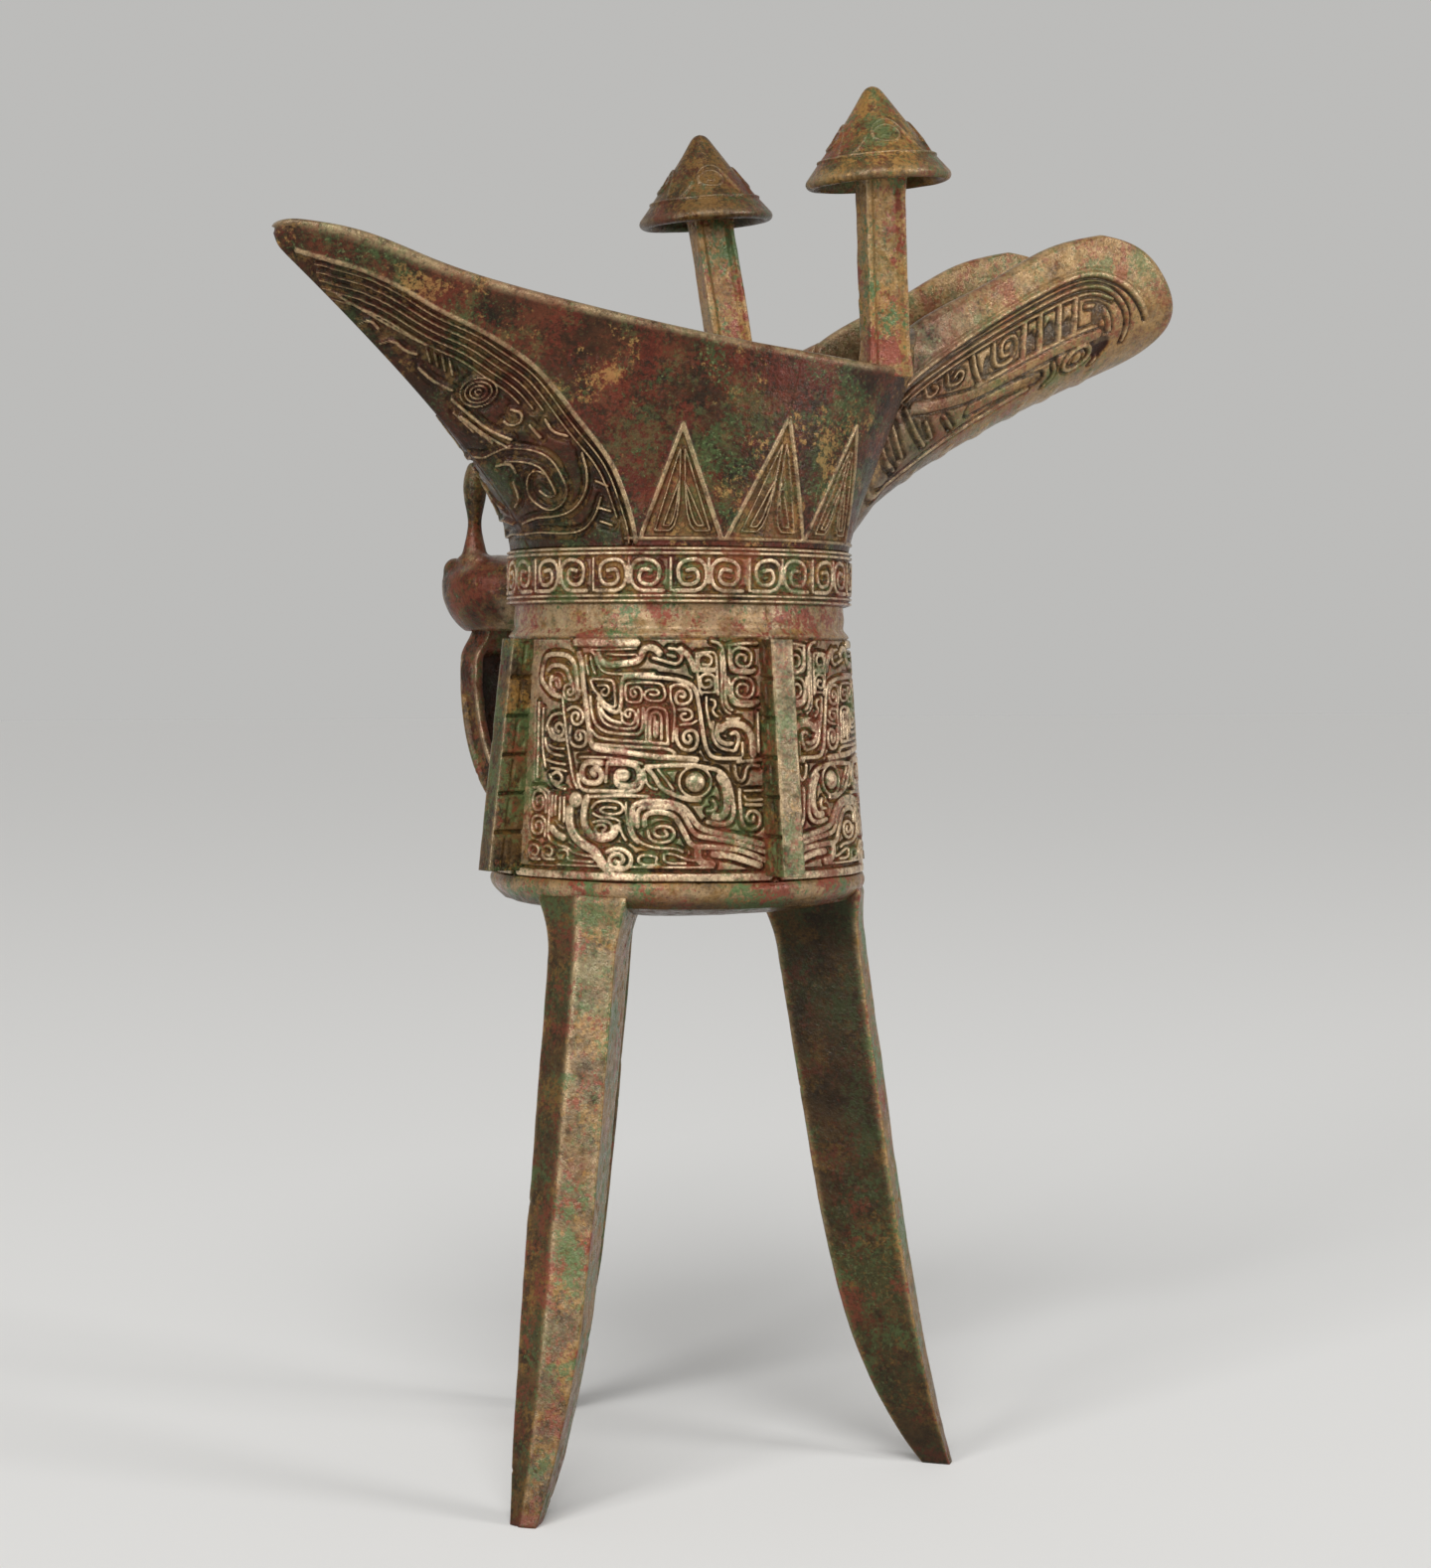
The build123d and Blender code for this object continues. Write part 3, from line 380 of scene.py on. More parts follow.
MEANDER_STROKES = (
    (0.75, 27.2, 26.8, 26.3, 25.7, 25.0, 24.9, 24.0, 24.7, 23.5, 25.3, 23.4, 27.0, 23.5, 29.2, 23.0, 29.95,
     21.0, 30.0, 16.0, 29.8, 13.2, 29.2, 12.2, 28.3, 11.8, 27.0, 11.5, 25.0, 11.2, 23.0, 10.9, 21.2,
     10.6, 19.6, 9.9, 18.4, 8.6, 18.1, 5.4, 18.1),
    (0.55, 28.3, 29.6, 25.1, 29.5, 24.6, 29.0, 24.4, 27.0, 24.3, 25.7),
    (0.55, 28.6, 29.4, 28.0, 28.0, 27.2, 27.4, 26.4, 26.4, 25.4, 25.7, 24.5, 25.5),
    (0.5, 27.3, 28.6, 26.0, 28.8, 25.3, 28.2, 25.5, 27.3, 26.3, 27.1, 26.8, 27.8, 26.2, 28.1),
    (0.5, 16.8, 27.9, 17.0, 28.7, 17.8, 29.1, 22.6, 29.1, 22.8, 28.4, 22.7, 26.7, 22.2, 26.2, 20.5, 26.2,
     20.2, 26.8, 20.3, 28.2, 21.0, 28.5, 22.0, 28.2, 22.0, 27.2, 21.3, 26.9, 21.0, 27.5, 21.4, 27.8),
    (0.5, 16.7, 27.7, 16.7, 26.9, 17.3, 26.4, 19.0, 26.4, 19.8, 26.9, 19.8, 27.6, 19.2, 28.1, 17.9, 28.1,
     17.5, 27.5, 18.2, 27.2, 19.0, 27.4),
    (0.6, 15.9, 28.5, 14.8, 28.9, 13.5, 28.6, 12.8, 27.8, 12.7, 26.8, 13.3, 26.1, 14.6, 25.9, 15.2, 26.6,
     15.0, 27.6, 14.2, 28.0, 13.6, 27.4, 13.9, 26.9, 14.4, 27.1),
    (0.5, 15.9, 28.4, 15.9, 26.6, 15.3, 25.4, 15.2, 24.0, 15.4, 22.4, 15.5, 20.6),
    (0.55, 14.7, 25.2, 13.2, 25.3, 12.6, 24.7, 12.7, 23.9, 13.6, 23.6, 14.4, 23.9, 14.3, 24.5, 13.6, 24.6),
    (0.5, 14.4, 23.0, 12.6, 23.1, 12.0, 23.6),
    (0.65, 14.9, 22.4, 15.0, 20.8, 14.3, 19.6, 13.2, 19.2, 12.1, 19.6, 11.8, 20.8, 12.0, 22.0, 13.0, 22.3,
     13.9, 21.8, 14.0, 20.8, 13.2, 20.2, 12.7, 20.8, 13.1, 21.4),
    (0.6, 28.5, 27.0, 28.3, 25.0, 27.7, 23.3, 26.6, 22.2, 25.0, 21.7, 21.2, 21.5, 20.3, 21.8, 20.0, 22.8,
     20.0, 25.4),
    (0.55, 27.2, 26.0, 26.9, 24.4, 26.1, 23.2, 24.6, 22.5, 22.0, 22.3, 21.0, 22.5, 20.7, 23.2, 20.7, 25.2),
    (0.7, 26.7, 25.2, 26.0, 24.2, 24.8, 23.5, 23.4, 23.2),
    (0.55, 23.3, 24.7, 23.2, 23.4, 22.4, 23.0, 21.4, 23.1, 21.1, 23.9, 21.2, 24.9, 22.2, 25.3, 22.9, 24.8,
     22.5, 24.0, 21.9, 24.1, 22.0, 24.6),
    (0.55, 19.5, 21.0, 19.5, 25.0, 18.8, 25.6, 17.0, 25.4, 16.4, 24.8, 16.3, 22.0, 16.2, 20.4),
    (0.55, 18.9, 20.8, 18.9, 24.3, 18.4, 24.8, 17.5, 24.7, 17.2, 24.0, 17.2, 20.9),
    (0.5, 18.2, 24.1, 18.3, 21.2, 17.8, 21.2, 17.8, 23.4),
    (0.6, 28.0, 22.0, 27.2, 21.1, 25.0, 20.7, 20.0, 20.5, 16.2, 20.2),
    (0.6, 27.4, 20.1, 25.0, 19.9, 20.0, 19.7, 16.0, 19.5, 15.2, 18.9),
    (0.5, 12.0, 33.4, 9.4, 33.7, 8.9, 33.0, 8.8, 30.0, 8.7, 27.4),
    (0.5, 12.0, 33.0, 11.8, 30.0, 11.5, 28.0, 11.2, 27.4),
    (0.45, 11.6, 30.85, 9.2, 30.85),
    (0.45, 11.2, 27.7, 8.8, 27.7),
    (0.6, 9.6, 35.2, 8.4, 34.9, 7.8, 34.0, 7.6, 31.0, 7.5, 28.0, 7.6, 26.6, 7.2, 25.6, 6.6, 25.2),
    (0.45, 8.2, 33.6, 8.1, 28.0, 8.2, 26.4, 7.6, 25.0, 6.8, 24.6),
    (0.7, 7.1, 29.8, 6.9, 27.4, 6.4, 26.2, 5.2, 25.8, 3.2, 25.8, 2.3, 26.4),
    (0.7, 6.8, 34.0, 6.8, 31.6, 6.2, 30.7, 3.4, 30.6, 2.8, 31.0),
    (0.6, 6.9, 34.6, 5.0, 34.9, 2.2, 34.9),
    (0.5, 10.5, 27.0, 10.5, 25.4, 10.2, 24.0, 9.9, 22.6),
    (0.5, 9.8, 26.7, 9.2, 26.6, 9.1, 25.7, 9.6, 25.3, 9.4, 24.6, 8.8, 24.2),
    (1.2, 8.3, 22.4, 7.4, 23.1, 5.8, 23.2, 4.4, 22.7, 3.6, 21.6, 3.3, 20.2, 3.3, 18.7),
    (0.7, 6.7, 21.7, 6.0, 22.0, 5.5, 21.3, 5.7, 20.3, 6.1, 19.4),
    (0.8, 8.7, 23.0, 9.0, 21.7, 8.6, 20.7, 7.6, 20.2, 6.7, 20.3),
    (0.55, 9.5, 23.4, 9.7, 21.6, 9.2, 20.3, 8.2, 19.5, 6.4, 19.2),
    (0.5, 5.4, 23.95, 7.4, 23.9),
    (0.5, 5.0, 20.4, 5.0, 18.6),
    (0.5, 2.4, 24.8, 2.4, 19.0),
)

FACE_STROKES = (
    (1.0, 26.3, 17.3, 28.8, 17.5, 29.5, 16.6, 29.4, 15.0, 28.6, 14.4, 26.8, 14.4, 26.2, 15.0, 26.3, 16.2,
     27.2, 16.6, 27.9, 16.1, 27.4, 15.6),
    (1.0, 25.2, 17.3, 22.0, 17.4, 20.6, 16.8, 20.3, 15.2, 21.0, 14.1, 23.4, 14.0, 24.0, 14.7, 23.9, 15.9,
     23.0, 16.3, 22.0, 15.8, 22.5, 15.1, 23.2, 15.2),
    (0.6, 25.4, 17.0, 25.5, 14.6),
    (0.7, 30.2, 15.6, 30.0, 14.0, 29.0, 13.2, 26.0, 13.3, 21.4, 13.2, 20.2, 13.6, 19.8, 14.6, 19.8, 16.4),
    (0.5, 30.0, 18.1, 28.0, 18.2, 24.0, 18.1, 21.0, 17.6, 20.0, 17.3),
    (0.8, 19.4, 16.9, 16.0, 17.1, 13.0, 17.2, 10.4, 16.8, 8.6, 16.4, 7.4, 15.2, 6.8, 13.2, 6.5, 11.0,
     6.6, 9.4, 7.4, 8.6, 9.0, 8.5, 10.4, 8.9),
    (0.8, 19.2, 16.6, 18.2, 15.6, 17.3, 14.0, 16.2, 13.2, 14.6, 12.6, 13.2, 12.1, 11.6, 12.1),
    (0.5, 19.5, 15.8, 19.4, 14.6, 18.6, 13.8, 17.8, 13.6),
    (0.5, 17.6, 16.4, 16.4, 15.0, 15.4, 13.6),
    (1.2, 8.6, 15.4, 7.7, 13.8, 7.5, 12.0, 7.6, 10.4, 8.3, 9.6, 9.4, 9.7),
    (0.6, 9.6, 12.0, 9.2, 11.4, 9.2, 10.6, 10.4, 10.5),
    (0.6, 6.3, 17.0, 6.1, 15.4, 5.4, 14.7, 4.7, 15.2, 4.5, 16.6, 3.8, 17.2, 2.4, 17.0),
    (0.5, 4.8, 13.4, 1.9, 13.4),
    (0.5, 4.8, 12.6, 4.6, 12.0, 2.0, 12.1),
    (0.6, 5.8, 17.6, 2.0, 17.9),
    (0.6, 4.6, 11.4, 2.0, 11.3),
    (0.65, 5.6, 13.6, 5.5, 11.0, 5.3, 9.0, 4.8, 8.0, 3.6, 7.7, 2.5, 8.2, 2.3, 9.5, 2.9, 10.4, 4.1, 10.5,
     4.6, 9.6, 4.2, 8.9, 3.4, 9.0, 3.4, 9.6),
    (0.95, 21.4, 8.4, 21.4, 10.6, 20.9, 11.6, 18.0, 12.0, 15.4, 11.7, 13.7, 11.0, 12.7, 9.6, 12.0, 8.5,
     11.0, 7.8, 9.0, 7.3, 5.4, 6.6, 1.7, 5.4),
    (0.8, 20.5, 8.2, 20.6, 10.2, 20.0, 11.0, 17.0, 11.2, 15.0, 10.9, 14.0, 10.1, 13.2, 8.7, 12.6, 7.5,
     11.7, 6.8, 9.0, 6.4, 5.4, 5.7, 1.7, 4.4),
    (0.9, 19.5, 8.4, 19.6, 9.6, 18.8, 10.3, 16.6, 10.3, 15.2, 9.8, 14.4, 8.6, 13.6, 7.0, 13.0, 5.8,
     12.2, 5.3, 9.4, 5.3, 6.0, 4.9, 4.0, 4.2, 1.7, 3.2),
    (0.6, 19.0, 7.6, 18.8, 6.4, 17.4, 5.8, 15.8, 6.1, 15.1, 7.0, 15.5, 8.1, 17.0, 8.4, 18.2, 7.9,
     18.1, 7.0, 17.0, 6.6, 16.0, 7.0, 16.6, 7.6),
    (0.55, 21.4, 8.2, 21.0, 6.8, 19.8, 5.7, 18.0, 5.1, 15.0, 5.1, 14.0, 4.6),
    (1.2, 11.9, 4.6, 11.8, 3.5, 11.0, 2.9, 9.8, 2.8),
    (1.1, 9.6, 4.2, 7.2, 4.0, 5.0, 3.3, 2.6, 2.5),
    (1.25, 28.5, 12.2, 29.0, 10.4, 28.9, 8.6, 28.2, 7.3, 26.8, 6.4, 25.2, 6.3, 24.0, 6.9, 23.7, 8.0),
    (1.5, 31.4, 10.4, 31.4, 8.8, 31.0, 7.4, 29.9, 6.1, 28.4, 5.2, 27.0, 4.6, 26.2, 3.6, 25.6, 2.4,
     24.4, 1.9),
    (0.55, 27.3, 8.7, 26.0, 9.0, 24.5, 8.6, 24.2, 7.6, 25.0, 7.0, 26.4, 6.9, 27.1, 7.6, 26.6, 8.3,
     25.5, 8.3, 25.1, 7.8, 25.8, 7.5),
    (0.55, 27.6, 10.8, 26.8, 11.8, 24.0, 11.9, 22.7, 11.3, 22.8, 10.2, 24.0, 9.9, 25.8, 10.0, 26.4, 10.6,
     25.4, 11.0, 23.8, 10.8),
    (0.5, 27.4, 10.0, 26.6, 9.5, 24.0, 9.3, 22.9, 8.8),
    (0.6, 27.8, 12.4, 24.0, 12.6, 19.0, 12.6),
    (0.5, 22.3, 11.6, 22.2, 9.4, 21.9, 7.8, 21.2, 6.4, 20.4, 5.8),
    (0.5, 23.2, 8.6, 22.9, 7.2, 22.2, 6.2),
    (0.8, 25.0, 4.4, 24.0, 5.0, 22.6, 4.9, 21.4, 4.0, 21.3, 2.8, 22.2, 2.0, 23.6, 1.9, 24.6, 2.6,
     24.6, 3.6, 23.8, 4.2, 22.8, 4.0, 22.4, 3.2, 23.0, 2.7, 23.7, 3.1),
    (0.5, 34.8, 12.4, 34.8, 9.4),
    (0.5, 34.1, 12.4, 34.1, 9.6),
    (0.5, 33.3, 12.2, 33.2, 8.9),
    (0.5, 32.5, 12.2, 32.4, 8.6),
    (0.5, 35.4, 6.6, 34.8, 5.7, 33.2, 5.1, 31.7, 5.0, 30.6, 4.2, 29.0, 3.85, 27.4, 3.75, 26.5, 3.0),
    (1.2, 34.6, 7.6, 33.8, 6.8, 32.4, 6.3),
    (0.6, 35.6, 12.9, 35.3, 9.0, 35.4, 7.0),
    (0.55, 39.4, 13.4, 37.0, 13.6, 35.8, 13.0),
    (0.5, 33.0, 4.4, 31.8, 4.6, 31.2, 3.9, 31.8, 3.0, 27.2, 2.9),
    (0.5, 16.7, 4.2, 16.6, 2.9, 13.6, 2.9),
    (0.5, 16.2, 4.3, 15.2, 4.2, 13.2, 3.4, 12.4, 3.3),
)

# Strokes of the mouth: distance from the widest point, to the tail, and height above the neck
TAIL_STROKES = (
    (0.9, 75.5, 41.3, 71.8, 40.3, 64.5, 38.3, 59.0, 35.7, 54.8, 33.3, 49.0, 30.8, 45.0, 28.5, 40.5, 25.8,
     36.0, 21.7, 33.3, 18.9, 30.5, 16.2, 27.5, 13.3, 25.0, 10.0, 22.5, 5.6, 20.8, 2.0, 20.4, 0.6),
    (0.5, 69.5, 35.4, 65.0, 32.9, 60.0, 30.2, 56.5, 28.6),
    (0.5, 50.5, 13.6, 47.0, 12.9, 45.4, 13.4, 42.0, 14.6),
    (0.55, 41.0, 3.6, 37.5, 4.4, 33.0, 4.4, 30.4, 5.6, 29.3, 8.0, 29.6, 10.6, 31.0, 13.4),
    (0.5, 42.0, 2.0, 37.5, 2.3, 32.5, 1.9, 28.9, 2.2, 27.2, 4.4, 26.9, 7.0),
    (0.6, 41.5, 9.5, 40.6, 7.0, 42.0, 6.0),
    (0.6, 44.5, 11.8, 42.0, 12.2, 41.0, 10.8),
    (0.6, 42.8, 19.6, 41.0, 19.2, 40.8, 17.8, 42.4, 17.2, 43.6, 18.0),
    (0.6, 37.4, 18.2, 36.0, 16.4, 33.6, 15.8),
    (0.6, 39.6, 17.4, 37.6, 15.6),
    (0.6, 52.0, 21.2, 49.0, 19.0, 45.5, 16.6, 42.0, 15.4),
    (0.6, 50.4, 18.8, 47.6, 17.0, 45.0, 15.0),
    (0.6, 57.5, 25.6, 55.0, 23.6, 52.0, 22.4),
    (0.6, 63.5, 28.9, 61.5, 29.4, 60.0, 28.0, 58.0, 27.4),
    (0.6, 66.5, 31.6, 64.8, 32.2, 63.6, 30.8),
    (0.5, 56.6, 27.9, 55.8, 26.2),
    (0.5, 55.4, 27.5, 54.6, 25.6),
    (0.5, 54.2, 27.0, 53.4, 25.0),
    (0.5, 53.0, 26.4, 52.2, 24.4),
    (0.5, 28.2, 9.4, 26.2, 8.6),
    (0.5, 27.2, 5.6, 25.0, 5.0),
    (0.5, 26.4, 3.6, 24.4, 3.0),
)

# Strokes of the spout's side: distance along the vessel and girth from the keel
SPOUT_STROKES = (
    (0.9, 25.0, 21.0, 26.4, 24.0, 29.0, 25.8, 33.9, 26.6, 42.2, 26.9, 50.4, 27.4, 60.3, 27.8, 66.2, 27.6,
     70.2, 26.5, 73.5, 24.5, 76.1, 22.5, 78.1, 20.2, 79.8, 17.9, 81.1, 15.6),
    (0.6, 29.0, 24.3, 33.9, 25.0, 42.0, 25.1, 50.4, 25.4, 60.3, 25.7, 65.9, 25.6, 70.2, 24.5, 72.7, 22.8,
     74.8, 20.6, 76.5, 18.0, 77.2, 15.0, 76.9, 13.0),
    (0.5, 33.0, 24.0, 40.0, 24.1, 48.0, 24.3, 58.0, 24.5, 66.0, 24.4, 70.0, 23.4, 73.2, 21.2),
    (0.8, 25.0, 19.6, 26.4, 15.9, 28.4, 13.4, 30.6, 12.1, 33.9, 11.6, 40.5, 11.6, 47.1, 11.9, 53.7, 12.2,
     58.0, 12.4),
    (1.8, 34.3, 22.0, 37.0, 20.4, 41.0, 18.8, 45.0, 17.5, 50.0, 16.9, 58.0, 16.8, 65.0, 17.0, 71.0, 16.2),
    (1.8, 46.0, 14.9, 52.0, 14.5, 59.5, 13.6),
    (0.55, 36.4, 23.4, 36.6, 22.0, 38.2, 21.6, 38.8, 22.4, 38.0, 23.0),
    (0.55, 40.6, 23.3, 40.6, 21.4, 43.0, 20.8, 43.8, 22.0, 42.8, 22.9, 41.8, 22.2),
    (0.7, 45.5, 23.6, 46.0, 21.0, 47.1, 18.8),
    (0.6, 49.6, 23.6, 49.6, 19.6, 53.8, 19.4, 54.0, 23.4, 51.0, 23.4, 51.0, 20.8, 52.6, 20.8),
    (0.8, 55.6, 24.0, 55.4, 18.4),
    (0.8, 58.7, 24.0, 58.7, 18.4),
    (0.8, 62.5, 24.0, 62.5, 18.4),
    (0.8, 65.8, 24.0, 65.6, 18.4),
    (0.7, 46.6, 18.5, 55.0, 18.4, 66.0, 18.4, 70.4, 18.0),
    (0.7, 67.9, 22.0, 71.0, 21.0, 72.6, 18.6, 73.2, 16.2),
    (0.6, 28.2, 21.5, 29.4, 17.6, 31.6, 14.0),
    (0.6, 30.2, 22.4, 31.2, 18.6, 32.8, 15.2),
    (0.6, 32.6, 23.0, 34.4, 18.4, 37.4, 14.0),
    (0.6, 36.6, 18.4, 38.6, 14.6),
    (0.6, 40.4, 17.0, 42.8, 13.6),
    (0.6, 62.4, 15.0, 63.6, 12.6, 62.0, 11.0),
    (0.6, 71.4, 14.6, 73.0, 12.6, 71.6, 10.8),
)


# Mesh making

class MeshGrid:
    """Meshes made from square grids whose vertices are carried onto a surface."""

    kept_share = 0.6
    merged_gap = 0.004 * MM
    least_edge = 0.002 * MM
    lining_level = PLAIN_LEVEL - 0.15

    @staticmethod
    def place(bm: bmesh.types.BMesh, points: Grid, marks: dict) -> None:
        """Add a grid to the bmesh and carry it onto the points.

        Args:
            bm: The bmesh that receives the grid.
            points: Rows and columns of points in millimetres.
            marks: Per-vertex values by layer name, which spread over the rows and columns.
        """
        rows, columns = points.shape[:2]
        made = bmesh.ops.create_grid(bm, x_segments=rows - 1, y_segments=columns - 1, size=0.5)["verts"]
        flat = np.array([v.co[:2] for v in made]) + 0.5
        i = np.rint(flat[:, 0] * (rows - 1)).astype(int)
        j = np.rint(flat[:, 1] * (columns - 1)).astype(int)
        spots = (points[i, j] * MM).tolist()
        layers = []
        for name, values in marks.items():
            spread = np.broadcast_to(values, (rows, columns))
            layers.append((bm.verts.layers.float[name], spread[i, j].tolist()))
        for k, vert in enumerate(made):
            vert.co = spots[k]
            for layer, values in layers:
                vert[layer] = values[k]

    @classmethod
    def build(cls, name: str, sheets: list) -> bpy.types.Object:
        """Make one object from grids that share their edges.

        Args:
            name: Name of the object.
            sheets: Pairs of points and marks, each one grid.

        Returns:
            The object, smooth shaded, with its faces outwards.
        """
        bm = bmesh.new()
        for layer in dict.fromkeys(key for _, marks in sheets for key in marks):
            bm.verts.layers.float.new(layer)
        for points, marks in sheets:
            cls.place(bm, points, marks)
        bmesh.ops.remove_doubles(bm, verts=bm.verts, dist=cls.merged_gap)
        bmesh.ops.dissolve_degenerate(bm, edges=bm.edges, dist=cls.least_edge)
        bmesh.ops.recalc_face_normals(bm, faces=bm.faces)
        return cls.keep(name, bm)

    @staticmethod
    def keep(name: str, bm: bmesh.types.BMesh) -> bpy.types.Object:
        """Turn a bmesh into a linked, smooth shaded object and free it."""
        for face in bm.faces:
            face.smooth = True
        mesh = bpy.data.meshes.new(name)
        bm.to_mesh(mesh)
        bm.free()
        thing = bpy.data.objects.new(name, mesh)
        bpy.context.scene.collection.objects.link(thing)
        return thing

    @classmethod
    def shell(cls, name: str, outer: Grid, inner: Grid, marks: dict) -> bpy.types.Object:
        """Make a wall from an outer and an inner sheet that meet at their edges.

        Args:
            name: Name of the object.
            outer: Points of the outer sheet.
            inner: Points of the inner sheet, in the same rows and columns.
            marks: Per-vertex values of the outer sheet by layer name.

        Returns:
            The closed wall as an object.
        """
        lining = inner.copy()
        thin = np.ones(outer.shape[:2])
        for edge in (np.s_[0, :], np.s_[-1, :], np.s_[:, 0], np.s_[:, -1]):
            lining[edge] = outer[edge]
            thin[edge] = 0.0
        within = marks | {"relief": cls.lining_level, "lining": thin}
        return cls.thinned(cls.build(name, [(outer, marks | {"lining": 0.0}), (lining, within)]))

    @classmethod
    def thinned(cls, thing: bpy.types.Object) -> bpy.types.Object:
        """Return the object with fewer faces on the plain lining, at the same edges."""
        mesh = thing.data
        values = np.zeros(len(mesh.vertices))
        mesh.attributes["lining"].data.foreach_get("value", values)
        group = thing.vertex_groups.new(name="lining")
        group.add(np.nonzero(values > 0.5)[0].tolist(), 1.0, "REPLACE")
        press = thing.modifiers.new("thin", "DECIMATE")
        press.vertex_group = group.name
        press.ratio = cls.kept_share
        graph = bpy.context.evaluated_depsgraph_get()
        thing.data = bpy.data.meshes.new_from_object(thing.evaluated_get(graph))
        thing.modifiers.clear()
        thing.vertex_groups.clear()
        bpy.data.meshes.remove(mesh)
        thing.data.name = thing.name
        return thing

    @classmethod
    def closed(cls, name: str, points: Grid, marks: dict) -> bpy.types.Object:
        """Make a body whose rows wrap round and whose first and last columns shrink to a point.

        Args:
            name: Name of the object.
            points: Points round the body in rows and along it in columns, with the first row repeated.
            marks: Per-vertex values by layer name.

        Returns:
            The closed body as an object.
        """
        ends = [np.broadcast_to(points[:, k].mean(0), points[:, :1].shape) for k in (0, -1)]
        whole = np.concatenate([ends[0], points, ends[1]], 1)
        capped = {key: np.pad(np.broadcast_to(values, points.shape[:2]), ((0, 0), (1, 1)), "edge")
                  for key, values in marks.items()}
        return cls.build(name, [(whole, capped)])


# Finishes

class Zone(Enum):
    """Parts of the vessel whose patina differs."""

    CUP = "cup_bronze"
    MOUTH = "mouth_bronze"
    HANDLE = "handle_bronze"
    POST = "post_bronze"
    LEG = "leg_bronze"
    FLANGE = "flange_bronze"


@dataclass(frozen=True)
class Patina:
    """Aged bronze of one zone, as shares of each layer over the dark metal."""

    zone: Zone
    dark: tuple = (0.014, 0.009, 0.005)
    brown: tuple = (0.13, 0.072, 0.026)
    red: tuple = (0.095, 0.015, 0.008)
    green: tuple = (0.034, 0.052, 0.018)
    verdigris: tuple = (0.16, 0.21, 0.085)
    ochre: tuple = (0.26, 0.135, 0.032)
    # Pale colour of bare metal, also used for painted highlights.
    worn_and_highlight: tuple = (0.47, 0.325, 0.165)
    blush: tuple = (0.2, 0.048, 0.024)
    moss: tuple = (0.085, 0.125, 0.042)
    red_share: float = 0.3
    green_share: float = 0.35
    ochre_share: float = 0.35
    dust_share: float = 0.5
    worn_share: float = 0.85
    hollow: float = 0.4
    stain: float = 0.7
    gloss: float = 0.17
    metal: float = 0.12
    sheen: float = 0.8


